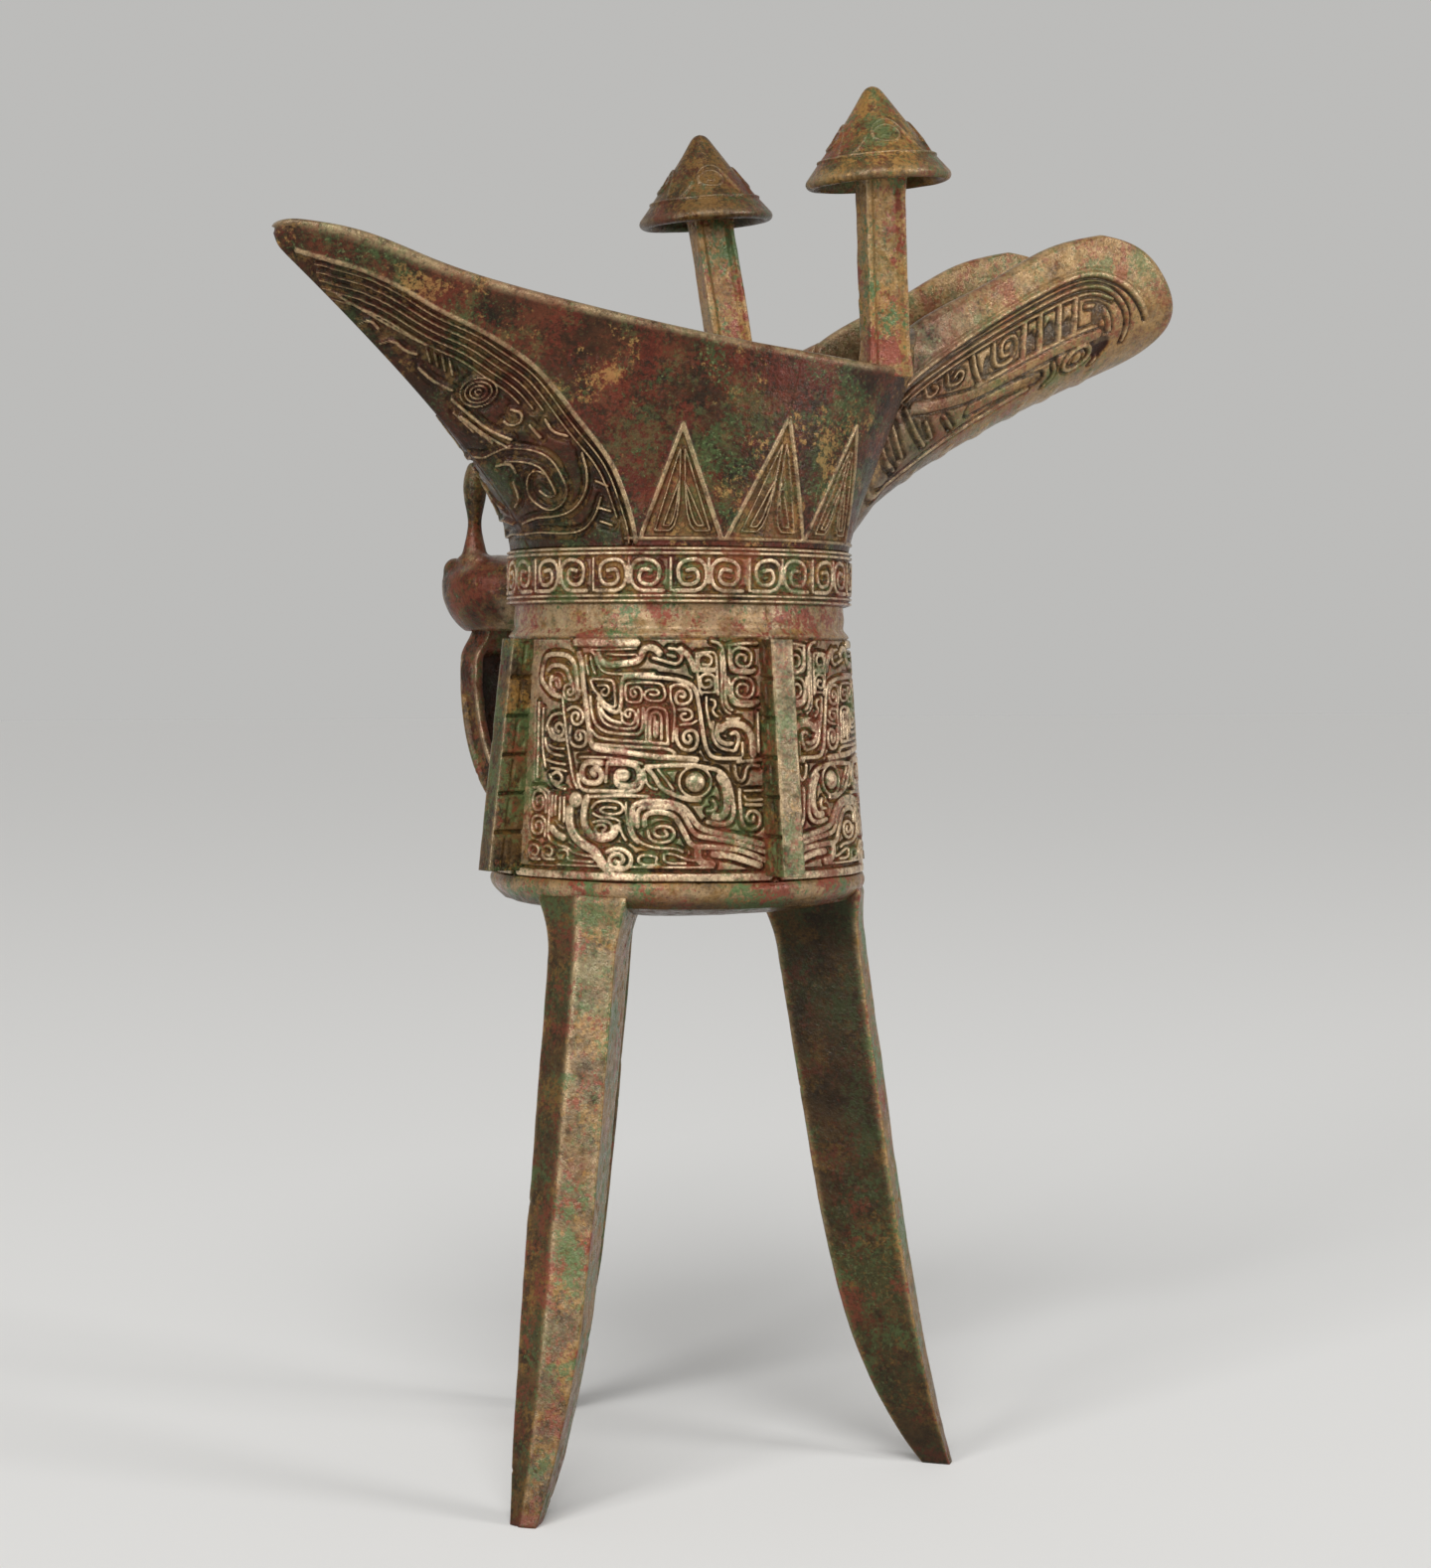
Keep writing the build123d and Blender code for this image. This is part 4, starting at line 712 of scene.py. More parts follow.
class PatinaShader:
    """Builds the node tree of a patina."""

    def __init__(self, patina: Patina) -> None:
        """Make the material and its texture coordinate."""
        self.patina = patina
        self.material = bpy.data.materials.new(patina.zone.value)
        self.material.use_nodes = True
        self.tree = self.material.node_tree
        self.surface = self.tree.nodes["Principled BSDF"]
        self.spot = self.tree.nodes.new("ShaderNodeTexCoord").outputs["Object"]

    def link(self, value: object, socket: Socket) -> None:
        """Link an output to a socket, or set the socket to a constant."""
        if isinstance(value, Socket):
            self.tree.links.new(value, socket)
        else:
            socket.default_value = value

    def attribute(self, name: str) -> Socket:
        """Return a vertex value as a socket."""
        node = self.tree.nodes.new("ShaderNodeAttribute")
        node.attribute_name = name
        return node.outputs["Fac"]

    def noise(self, lump: float, detail: float = 4.0, rough: float = 0.55,
              twist: float = 0.0, seed: float = 0.0) -> Socket:
        """Return cloudy noise.

        Args:
            lump: Size of its lumps in millimetres.
            detail: How many finer layers it has.
            rough: Weight of the finer layers.
            twist: How much it is distorted.
            seed: Picks the pattern.

        Returns:
            The noise factor.
        """
        node = self.tree.nodes.new("ShaderNodeTexNoise")
        node.noise_dimensions = "4D"
        self.link(self.spot, node.inputs["Vector"])
        for key, value in (("W", seed), ("Scale", 1.0 / (lump * MM)), ("Detail", detail),
                           ("Roughness", rough), ("Distortion", twist)):
            node.inputs[key].default_value = value
        return node.outputs["Fac"]

    def step(self, value: object, low: float, high: float, top: float = 1.0) -> Socket:
        """Return a soft step of a value from 0 at low to top at high."""
        node = self.tree.nodes.new("ShaderNodeMapRange")
        node.interpolation_type = "SMOOTHSTEP"
        for key, number in (("From Min", low), ("From Max", high), ("To Min", 0.0), ("To Max", top)):
            node.inputs[key].default_value = number
        self.link(value, node.inputs["Value"])
        return node.outputs["Result"]

    def calc(self, operation: str, first: object, second: object) -> Socket:
        """Return the result of one arithmetic operation."""
        node = self.tree.nodes.new("ShaderNodeMath")
        node.operation = operation
        self.link(first, node.inputs[0])
        self.link(second, node.inputs[1])
        return node.outputs[0]

    def mix(self, share: object, under: object, over: object) -> Socket:
        """Return one colour laid over another by a share."""
        node = self.tree.nodes.new("ShaderNodeMix")
        node.data_type = "RGBA"
        self.link(share, node.inputs["Factor"])
        for value, key in ((under, "A"), (over, "B")):
            socket = [s for s in node.inputs if s.name == key and s.type == "RGBA"][0]
            self.link((*value, 1.0) if isinstance(value, tuple) else value, socket)
        return [s for s in node.outputs if s.type == "RGBA"][0]

    def lay(self, base: object, share: object, strength: object, tint: tuple) -> Socket:
        """Return a colour with a tint laid over it by a share times a strength."""
        return self.mix(self.calc("MULTIPLY", share, strength), base, tint)

    def line(self, value: object, slope: float, start: object) -> Socket:
        """Return a value times a slope plus a start."""
        return self.calc("ADD", self.calc("MULTIPLY", value, slope), start)

    def patch(self, lump: float, share: float, grain: float, seed: float) -> Socket:
        """Return ragged patches that break up into grains at their edges.

        Args:
            lump: Size of the patches in millimetres.
            share: How much of the surface they take, 0 to 1.
            grain: Size of the grains in millimetres.
            seed: Picks the pattern.

        Returns:
            The patches' strength.
        """
        wide = self.noise(lump, 3.0, 0.55, 0.5, seed)
        fine = self.noise(grain, 4.0, 0.7, 0.0, seed + 1.0)
        both = self.line(self.calc("SUBTRACT", fine, 0.5), 0.9, wide)
        edge = 0.64 - 0.28 * share
        return self.step(both, edge, edge + 0.13)

    def crust(self) -> Socket:
        """Return the colours of the corrosion that covers the metal."""
        look = self.patina
        base = self.mix(self.step(self.noise(4.0, 6.0, 0.7), 0.36, 0.64), look.dark, look.brown)
        for lump, share, grain, seed, strength, tint in (
                (11.0, look.red_share, 0.8, 3.0, 0.9, look.red),
                (6.0, look.ochre_share, 0.7, 7.0, 0.75, look.ochre),
                (9.0, look.green_share, 0.6, 11.0, 0.85, look.green)):
            stain = self.patch(lump, share, grain, seed)
            base = self.lay(base, stain, strength, tint)
        flecks = self.step(self.noise(0.55, 3.0, 0.65, 0.0, 13.0), 0.54, 0.64, 0.65)
        base = self.lay(base, stain, flecks, look.verdigris)
        foil = self.step(self.noise(2.6, 6.0, 0.75, 0.2, 15.0), 0.3, 0.6)
        return self.lay(base, self.attribute("gilt"), foil, look.ochre)

    def colour(self) -> Socket:
        """Return the layered colour of the patina, with the painted shade and painted highlights that its
        marks carry.
        """
        look = self.patina
        relief = self.attribute("relief")
        low = self.step(self.calc("SUBTRACT", 1.0, relief), 0.4, 0.8)
        base = self.lay(self.crust(), low, look.hollow, look.dark)
        dusty = self.calc("MULTIPLY", self.patch(5.0, look.dust_share, 0.7, 17.0), 0.6)
        base = self.lay(base, low, dusty, look.ochre)
        # Pale bare metal, and painted highlights where the marks ask for them.
        base = self.mix(self.rub_and_highlight, base, look.worn_and_highlight)
        vivid = self.line(self.attribute("gilt"), 0.5, look.stain)
        for seed, share, tint in ((51.0, look.red_share, look.blush), (61.0, look.green_share, look.moss)):
            base = self.lay(base, self.patch(7.0, share, 0.7, seed), vivid, tint)
        speck = self.step(self.noise(0.5, 3.0, 0.7, 0.0, 41.0), 0.5, 0.68, 0.55)
        base = self.mix(speck, base, look.dark)
        # The gloom mark darkens the colour: dark patina on some pieces, painted shade on others.
        return self.lay(base, self.attribute("gloom"), 0.8, look.dark)

    def rubbed_and_highlit(self) -> Socket:
        """Return how far the metal shows bare and glossy: on the ridges, and where a piece is marked abraded
        or given a painted highlight.
        """
        top = self.calc("MAXIMUM", self.step(self.attribute("relief"), 0.64, 0.95), self.attribute("wear"))
        ragged = self.step(self.noise(2.4, 6.0, 0.72, 0.2, 23.0), 0.32, 0.6, self.patina.worn_share)
        return self.calc("MULTIPLY", top, ragged)

    def build(self) -> bpy.types.Material:
        """Return the finished material."""
        look = self.patina
        self.rub_and_highlight = self.rubbed_and_highlit()
        grain = self.step(self.noise(1.4, 6.0, 0.7, 0.0, 29.0), 0.3, 0.75, 0.34)
        bump = self.tree.nodes.new("ShaderNodeBump")
        bump.inputs["Strength"].default_value = 0.9
        bump.inputs["Distance"].default_value = 0.2 * MM
        coarse = self.noise(1.2, 3.0, 0.6, 0.3, 37.0)
        self.link(self.line(self.noise(0.5, 4.0, 0.65, 0.0, 31.0), 0.6, coarse), bump.inputs["Height"])
        for value, key in ((self.colour(), "Base Color"), (bump.outputs["Normal"], "Normal"),
                           (self.line(self.rub_and_highlight, look.sheen, 0.15), "Specular IOR Level"),
                           (self.line(self.rub_and_highlight, -0.06, self.calc("ADD", grain, look.gloss)), "Roughness"),
                           (self.line(self.rub_and_highlight, 0.3, look.metal), "Metallic")):
            self.link(value, self.surface.inputs[key])
        return self.material


PATINAS = (
    Patina(Zone.CUP, worn_and_highlight=(0.72, 0.525, 0.32), red_share=0.5, green_share=0.33, stain=0.75),
    # The mouth's dark brown is partly its patina and partly painted shade on the downward-facing mouth, which
    # the pale floor would light from below.
    Patina(Zone.MOUTH, brown=(0.052, 0.02, 0.009), red=(0.08, 0.016, 0.009), ochre=(0.33, 0.185, 0.06),
           red_share=0.5, green_share=0.38, ochre_share=0.2, worn_share=0.7, hollow=0.3, stain=0.28,
           sheen=0.5),
    Patina(Zone.HANDLE, red_share=0.55, green_share=0.25, ochre_share=0.25),
    Patina(Zone.POST, ochre=(0.36, 0.19, 0.05), red_share=0.4, green_share=0.33, ochre_share=0.55,
           worn_share=0.8),
    Patina(Zone.LEG, red_share=0.36, green_share=0.42, ochre_share=0.45, stain=0.8),
    Patina(Zone.FLANGE, red_share=0.3, green_share=0.5, ochre_share=0.25),
)


@dataclass
class Workshop:
    """Makes the finishes once and puts them on the pieces."""

    body: str = "root"

    def __post_init__(self) -> None:
        """Make the material of each zone."""
        self.finishes = {patina.zone: PatinaShader(patina).build() for patina in PATINAS}

    def fit(self, thing: bpy.types.Object, zone: Zone, *nodes: str) -> None:
        """Dress a piece, attach it to the body and let it stand for its nodes."""
        thing.data.materials.clear()
        thing.data.materials.append(self.finishes[zone])
        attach(thing, self.body)
        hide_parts(*nodes)
        log.info("%s: %d faces", thing.name, len(thing.data.polygons))


# Cup

@dataclass
class CupWall:
    """Tapered cup with the mask relief, and the plain neck above it."""

    foot: float = 92.0
    shoulder: float = 127.7
    top: float = 128.9
    waist: float = 133.1
    neck_top: float = 141.0
    foot_radius: float = 28.5
    top_radius: float = 26.1
    neck_radius: float = 25.15
    bore_foot: float = 25.5
    bore_top: float = 22.5
    bead: float = 0.18
    bead_rise: float = 1.6
    bead_spread: float = 1.1
    sink: float = 0.62
    rise: float = 0.16
    skin: float = 0.35
    neck_wear: float = 0.35
    neck_gilt: float = 0.6
    columns: int = 250
    rows: int = 224
    row_shares: tuple = (0.0, 0.875, 0.96, 1.0)
    seams: tuple = (180.0, 270.0, 360.0, 458.0, 540.0)
    names: tuple = ("cup_near_tail", "cup_near_spout", "cup_far_spout", "cup_far_tail")
    panel_size: tuple = (43.2, 37.0)
    borders: tuple = ((1.3, 1.2, 0.85, 42.0, 0.85), (0.6, 1.2, 36.2, 42.0, 36.2), (0.45, 9.6, 2.3, 33.2, 2.3))
    spirals: tuple = ((10.5, 32.2, 2.4, 2.2, 1), (10.3, 29.2, 2.4, 2.3, -1), (4.7, 32.6, 3.7, 3.4, 1),
                      (4.6, 28.2, 3.9, 3.6, 1), (37.7, 11.4, 3.2, 3.2, -1), (37.6, 7.8, 3.2, 3.0, -1),
                      (38.2, 4.0, 2.6, 2.2, 1), (35.2, 4.0, 2.4, 2.0, 1), (18.8, 3.4, 3.0, 1.5, 1))
    eye: tuple = (12.2, 14.7)
    snout: tuple = (30.5, 11.9)

    def relief(self) -> Relief:
        """Return the height map of the mask, from a flange outwards."""
        panel = Relief((0.0, -0.5), self.panel_size, fill=0.78, gap=(0.28, 0.5))
        for strokes in (HORN_STROKES, MEANDER_STROKES, FACE_STROKES, self.borders):
            panel.draw(strokes)
        for u, v, wide, high, turn in self.spirals:
            panel.spiral(0.55, u, v, wide, high, turn=turn)
        panel.boss(*self.eye, radius=1.6, height=1.7)
        panel.ring(0.5, *self.eye, wide=2.35, high=2.2)
        panel.boss(*self.snout, radius=1.4, height=1.3)
        panel.settle()
        return panel

    def profile(self) -> tuple:
        """Return the outer radius, the inner radius and the height of each row."""
        levels = (self.foot, self.shoulder, self.waist, self.neck_top)
        height = np.interp(np.linspace(0.0, 1.0, self.rows), self.row_shares, levels)
        lean = unit((height - self.foot) / (self.top - self.foot))
        outer = self.foot_radius + (self.top_radius - self.foot_radius) * lean
        outer += (self.neck_radius - self.top_radius) * ease(height, self.shoulder + 0.1, self.top + 0.5)
        outer += self.bead * np.exp(-((height - self.top - self.bead_rise) / self.bead_spread) ** 2)
        return outer, self.bore_foot + (self.bore_top - self.bore_foot) * lean, height

    def quarter(self, name: str, start: float, end: float, mirrored: bool, panel: Relief) -> bpy.types.Object:
        """Make the wall between two seams.

        Args:
            name: Name of the piece.
            start: First angle in degrees.
            end: Last angle in degrees.
            mirrored: True if the mask starts at the last angle.
            panel: Height map of the mask.

        Returns:
            The piece.
        """
        across = np.linspace(0.0, 1.0, self.columns)[:, None]
        angle = np.radians(start + (end - start) * across)
        outer, inner, height = self.profile()
        along = (1.0 - across if mirrored else across) * self.panel_size[0]
        drawn = panel.at(along, height - self.foot)
        on_cup = 1.0 - ease(height, self.shoulder - 0.1, self.shoulder + 0.1)
        lift = on_cup * (drawn * (self.sink + self.rise) - self.sink)
        lift += self.skin * cast_skin(revolved(outer, height, angle), 5)
        marks = {"relief": np.where(on_cup > 0.5, unit(drawn), PLAIN_LEVEL - 0.1),
                 "wear": self.neck_wear * (1.0 - on_cup), "gilt": self.neck_gilt * (1.0 - on_cup)}
        wall = revolved(outer + lift, height, angle)
        return MeshGrid.shell(name, wall, revolved(inner, height, angle), marks)

    def build(self, shop: Workshop) -> None:
        """Make and dress the four quarters."""
        panel = self.relief()
        for k, name in enumerate(self.names):
            piece = self.quarter(name, *self.seams[k:k + 2], k % 2 == 0, panel)
            shop.fit(piece, Zone.CUP, "cup_wall")


@dataclass
class NeckBand:
    """Raised ring of paired squared spirals round the neck."""

    foot: float = 132.6
    top: float = 141.0
    radius: float = 26.5
    bore: float = 24.9
    pairs: int = 14
    turn: float = 98.2
    sink: float = 0.55
    edge_drop: float = 0.35
    skin: float = 0.25
    columns: int = 800
    rows: int = 56
    lines: tuple = (0.4, 1.15, 7.35, 8.05)
    spiral_size: float = 4.7
    spiral_middle: float = 4.25
    spiral_pitch: float = 1.42

    def relief(self) -> Relief:
        """Return the height map of one pair of spirals."""
        pitch = 2 * math.pi * self.radius / self.pairs
        panel = Relief((0.0, 0.0), (pitch, self.top - self.foot))
        for v in self.lines:
            panel.ridge(0.5, -0.5, v, pitch + 0.5, v)
        for place, turn, corner in ((0.27, 1, 0), (0.73, -1, 1)):
            panel.spiral(0.7, pitch * place, self.spiral_middle, self.spiral_size, self.spiral_size,
                         self.spiral_pitch, turn, corner)
        panel.ridge(0.5, 0.3, 6.6, 0.3, 1.9)
        panel.ridge(0.45, pitch * 0.5, 6.6, pitch * 0.5, 3.0)
        panel.settle()
        return panel

    def build(self, shop: Workshop) -> None:
        """Make and dress the ring."""
        panel = self.relief()
        angle = 2 * math.pi * np.linspace(0.0, 1.0, self.columns)[:, None]
        height = np.linspace(self.foot, self.top, self.rows)
        along = (angle + math.radians(self.turn)) * self.radius % panel.high[0]
        drawn = panel.at(along, height - self.foot)
        edge = ease(np.minimum(height - self.foot, self.top - height), 0.0, 0.4)
        lift = (drawn - 1.0) * self.sink - self.edge_drop * (1.0 - edge)
        lift += self.skin * cast_skin(revolved(self.radius, height, angle), 9)
        face = revolved(self.radius + lift, height, angle)
        bore = revolved(self.bore, np.array([self.foot, self.top]), angle)
        lining = np.concatenate([face[:, :1], bore, face[:, -1:]], 1)
        sheets = [(face, {"relief": unit(drawn)}), (lining, {"relief": 0.0})]
        shop.fit(MeshGrid.build("neck_scroll_band", sheets), Zone.CUP, "neck_band")


# Mouth

@dataclass
class Mouth:
    """Flaring mouth: the shape that the collar and the spout share, in millimetres."""

    neck_top: float = 141.0
    neck: float = 26.0
    wall: float = 2.1
    rim: float = 169.0
    widest: float = 6.0
    front_run: float = 11.0
    front_sweep: float = 1.3
    front_squareness: float = 0.4
    tail_tip: float = 186.6
    tail_reach: float = 66.8
    tail_run: float = 45.0
    tail_sweep: float = 1.24
    tail_point_share: float = 0.6
    tail_sharpness: float = 0.45
    tail_flatness: float = 0.84
    tip_softness: float = 0.5
    tail_seat: float = 17.45
    tail_rim: tuple = ((0.0, 1.0), (0.09, 0.93), (0.21, 0.725), (0.44, 0.41), (0.78, 0.1), (1.0, 0.0))
    channel: float = 13.5
    keel_rise: float = 34.8
    keel_curve: float = 0.7
    keel_straight: float = 0.08
    spout_reach: float = 88.2
    spout_peak: float = 193.4
    spout_seat: float = 26.35
    spout_rim: tuple = ((0.0, 0.0), (0.12, 0.23), (0.52, 0.64), (0.78, 0.89), (1.0, 1.0))
    lip: float = 17.2
    lip_foot_share: float = 0.35
    lip_shape: tuple = ((0.0, 1.0), (0.3, 0.97), (0.6, 0.865), (0.86, 0.61), (1.0, 0.34))

    def __post_init__(self) -> None:
        """Work out the rim, the lip and the seam between collar and spout."""
        self.peak = self.spout_reach - self.lip
        tail = between(self.tail_rim, (-self.tail_reach, self.rim), (self.tail_seat, self.tail_tip))
        pour = between(self.spout_rim, (self.spout_seat, self.rim), (self.peak, self.spout_peak))
        self.rim_line = np.concatenate([spline(tail), spline(pour)])
        foot = self.spout_reach - self.lip_foot_share * self.lip
        low = float(self.keel(np.array(foot)))
        lip = between(self.lip_shape, (self.peak, low), (self.spout_reach, self.spout_peak))
        self.lip_line = spline(lip + [(foot, low)])[::-1]
        self.levels = np.linspace(self.neck_top, self.spout_peak + 4.0, 120)
        self.seams = np.array([self.seam_angle(z) for z in self.levels])

    def rim_at(self, x: Grid) -> Grid:
        """Return the height of the rim along the vessel."""
        return np.interp(x, self.rim_line[:, 0], self.rim_line[:, 1])

    def keel(self, x: Grid) -> Grid:
        """Return the height of the spout's keel along the vessel."""
        run = (x - self.neck) / (self.spout_reach - self.neck)
        bend, power = self.keel_straight, self.keel_curve
        curve = np.where(run > bend, np.maximum(run, bend) ** power, run / bend * bend ** power)
        return self.neck_top + self.keel_rise * curve

    def front_shape(self, z: Grid) -> tuple:
        """Return the widest place, front reach, half width and squareness of the collar at a level."""
        up = unit((z - self.neck_top) / (self.rim - self.neck_top))
        reach = self.neck + self.front_run * up ** self.front_sweep
        return self.widest * up, reach, self.neck + up, 2.0 + self.front_squareness * up

    def section(self, a: Grid, z: Grid, wall: float = 0.0, keel_wall: float = 0.0) -> Grid:
        """Return points of the collar's oval at each level.

        Args:
            a: Angle from the tail (0) over the widest place to the front.
            z: Level.
            wall: How far the sides are set in.
            keel_wall: How far the tail is set in.

        Returns:
            Points with y to the far side.
        """
        rise = np.maximum((z - self.neck_top) / (self.tail_tip - self.neck_top), 0.0)
        widest, front, half, squareness = self.front_shape(z)
        tail = self.neck + self.tail_run * rise ** self.tail_sweep - keel_wall
        sharp = np.minimum(rise / self.tail_point_share, 1.0)
        cosine = np.abs(np.cos(a))
        sine = unit(np.sin(a))
        back = widest - (tail + widest) * cosine ** (2.0 / (2.0 - self.tail_sharpness * sharp))
        end = -self.tail_reach + keel_wall / 2
        back = end + self.tip_softness * np.logaddexp(0.0, (back - end) / self.tip_softness)
        fore = widest + (front - wall - widest) * cosine ** (2.0 / squareness)
        x = np.where(a < QUARTER, back, fore)
        power = np.where(a < QUARTER, 1.0 + self.tail_flatness * sharp, 2.0 / squareness)
        return np.stack([x, (half - wall) * sine ** power, z + 0 * x], -1)

    def channel_half(self, x: Grid, z: Grid) -> Grid:
        """Return the half width of the spout's outside at a place and level."""
        deep = np.clip(z - self.keel(x), 0.0, self.channel)
        return np.sqrt(self.channel ** 2 - (self.channel - deep) ** 2)

    def seam_angle(self, z: float) -> float:
        """Return the collar's angle at which it meets the spout, by halving."""
        low, high = QUARTER, math.pi
        for _ in range(40):
            middle = (low + high) / 2
            spot = self.section(np.array(middle), np.array(z))
            if spot[1] > self.channel_half(spot[0], np.array(z)):
                low = middle
            else:
                high = middle
        return low

    def rolled(self, outer: Grid, inner: Grid, below: Grid) -> tuple:
        """Draw both faces of the wall together into a round rim.

        Args:
            outer: Points of the outer face.
            inner: Points of the inner face.
            below: Distance of each point from the rim.

        Returns:
            The outer and the inner face.
        """
        near = unit(1.0 - below / (self.wall / 2))
        roll = 0.5 * (1.0 - np.sqrt(1.0 - near ** 2))[..., None]
        return outer + (inner - outer) * roll, inner + (outer - inner) * roll

    def rim_wear(self, below: Grid) -> Grid:
        """Return how far the wall is scuffed bare at a distance from the rim."""
        return 0.8 * (1.0 - ease(below, 0.4, 1.6))


@dataclass
class Collar:
    """Mouth's wall with its tail, in a near and a far half."""

    mouth: Mouth
    columns: int = 470
    rows: int = 186
    back_share: float = 0.7
    split_share: float = 0.98
    even_level: float = 165.0
    rim_share: float = 1.1 / 28.0
    first_height: float = 30.0
    keel_wall: float = 4.4
    depth: float = 0.8
    skin: float = 0.5
    plain_rim: float = 1.2
    names: tuple = (("near", -1.0), ("far", 1.0))
    panel_low: tuple = (-26.0, -0.5)
    panel_high: tuple = (80.0, 44.0)
    tail_start: float = 20.4
    border_ends: tuple = (120, 112, 76, 74, 70)
    coil: tuple = ((43.0, 13.2), (39.0, 12.9), (36.4, 11.9), (34.2, 9.4), (33.4, 7.2), (34.6, 6.4),
                   (36.6, 7.0), (38.0, 8.6), (37.8, 9.9), (36.8, 9.6))
    leaf_foot: float = 1.2
    leaf_level: float = 0.25
    leaf_edges: tuple = ((19.8, 8.0, 17.2, 17.6), (7.2, -5.9, 1.2, 19.0), (-6.3, -18.6, -12.0, 18.4))
    leaf_loops: tuple = ((0.68, 0.1, 0.78, 1.0), (0.5, 0.26, 0.5, 1.72))

    def tail_border(self, arc: Grid) -> Grid:
        """Return the height of the tail panel's border at arcs from the widest point."""
        border = stroke_points(TAIL_STROKES[0])[::-1]
        return np.interp(arc, border[:, 0], border[:, 1])

    def relief(self) -> Relief:
        """Return the height map, with distance from the widest point positive to the tail."""
        panel = Relief(self.panel_low, self.panel_high, widen=0.85, fill=0.55, gap=(0.5, 0.9))
        u, v = panel.cells()
        on_tail = (u > self.tail_start) & (v < self.tail_border(u) + 0.3)
        panel.draw(TAIL_STROKES)
        for k, last in enumerate(self.border_ends, 1):
            line = beside(stroke_points(TAIL_STROKES[0]), 0.98 * k)[4 + k:last]
            panel.ridge(0.4, *line.ravel(), round_off=0)
        for away, last in ((-1.0, 120), (0.8, 100)):
            panel.ridge(0.45, *beside(self.coil, away)[:last].ravel(), round_off=0)
        for k in range(4):
            panel.ring(0.42, 48.0, 22.1, 0.5 + 0.75 * k, 0.35 + 0.55 * k)
        for k in range(5):
            panel.ridge(0.4, 51.6 - 1.5 * k, 19.4 - 0.9 * k, 48.2 - 1.5 * k, 16.6 - 0.6 * k)
        panel.settle()
        panel.heights = np.where(on_tail, panel.heights, np.maximum(panel.heights, PLAIN_LEVEL))
        for leaf in self.leaf_edges:
            self.leaf(panel, *leaf)
        panel.ridge(0.7, -26.0, 1.1, 22.0, 1.1)
        return panel

    def leaf(self, panel: Relief, left: float, right: float, tip: float, top: float) -> None:
        """Sink a leaf triangle and raise its border and the loops inside it.

        Args:
            panel: Height map that receives the leaf.
            left: Its corner nearer the tail, as a distance from the widest point.
            right: Its other corner.
            tip: Distance of its tip.
            top: Height of its tip above the neck.
        """
        foot = self.leaf_foot
        u, v = panel.cells()
        rise = unit((v - foot) / (top - foot))
        inside = (u < left + (tip - left) * rise) & (u > right + (tip - right) * rise)
        inside &= (v > foot) & (v < top)
        panel.heights[inside] = self.leaf_level
        for corner in (left, right):
            panel.ridge(0.95, corner, foot, tip, top)
        middle, half = (left + right) / 2, (left - right) / 2
        for edge, inner, peak, lift in self.leaf_loops:
            low, high = foot + lift, foot + (top - foot) * peak
            for side in (-1.0, 1.0):
                a, b = middle + side * edge * half, middle + side * inner * half
                crest = middle + (tip - middle) * peak + side * 0.28
                panel.ridge(0.42, a, low, crest + side * 0.15, high, crest, high, b, low, a, low)

    def arc_at(self, a: Grid, z: Grid) -> Grid:
        """Return the arc from the widest point at angles and levels, positive to the tail."""
        levels = np.linspace(self.mouth.neck_top, self.mouth.tail_tip + 8.0, 50)
        angles = np.linspace(0.0, math.pi, 600)
        arc = arc_length(self.mouth.section(angles[:, None], levels))
        widest = np.array([np.interp(QUARTER, angles, column) for column in arc.T])
        row = np.clip(a / angles[1], 0.0, len(angles) - 1.001)
        column = np.clip((z - levels[0]) / (levels[1] - levels[0]), 0.0, len(levels) - 1.001)
        return lookup(widest - arc, row, column)

    def lattice(self) -> tuple:
        """Return the angle, the level and the distance from the rim of each vertex."""
        mouth = self.mouth
        share = np.linspace(0.0, 1.0, self.columns)[:, None]
        angles = np.linspace(0.0, QUARTER, 400)
        arc = arc_length(mouth.section(angles, self.even_level + 0 * angles))
        evenly = np.interp(unit(share / self.back_share) * arc[-1], arc, angles)
        front = unit((share - self.back_share) / (1.0 - self.back_share))
        up = fine_ends(self.rows, self.rim_share)[None, :]
        z = mouth.neck_top + up * self.first_height + 0 * share
        for _ in range(60):
            end = np.interp(z, mouth.levels, mouth.seams)
            a = np.where(share <= self.back_share, evenly, QUARTER + front * (end - QUARTER))
            x = mouth.section(a, z)[..., 0]
            z = mouth.neck_top + up * (mouth.rim_at(x) - mouth.neck_top)
        return a, z, (1.0 - up) * (mouth.rim_at(x) - mouth.neck_top)

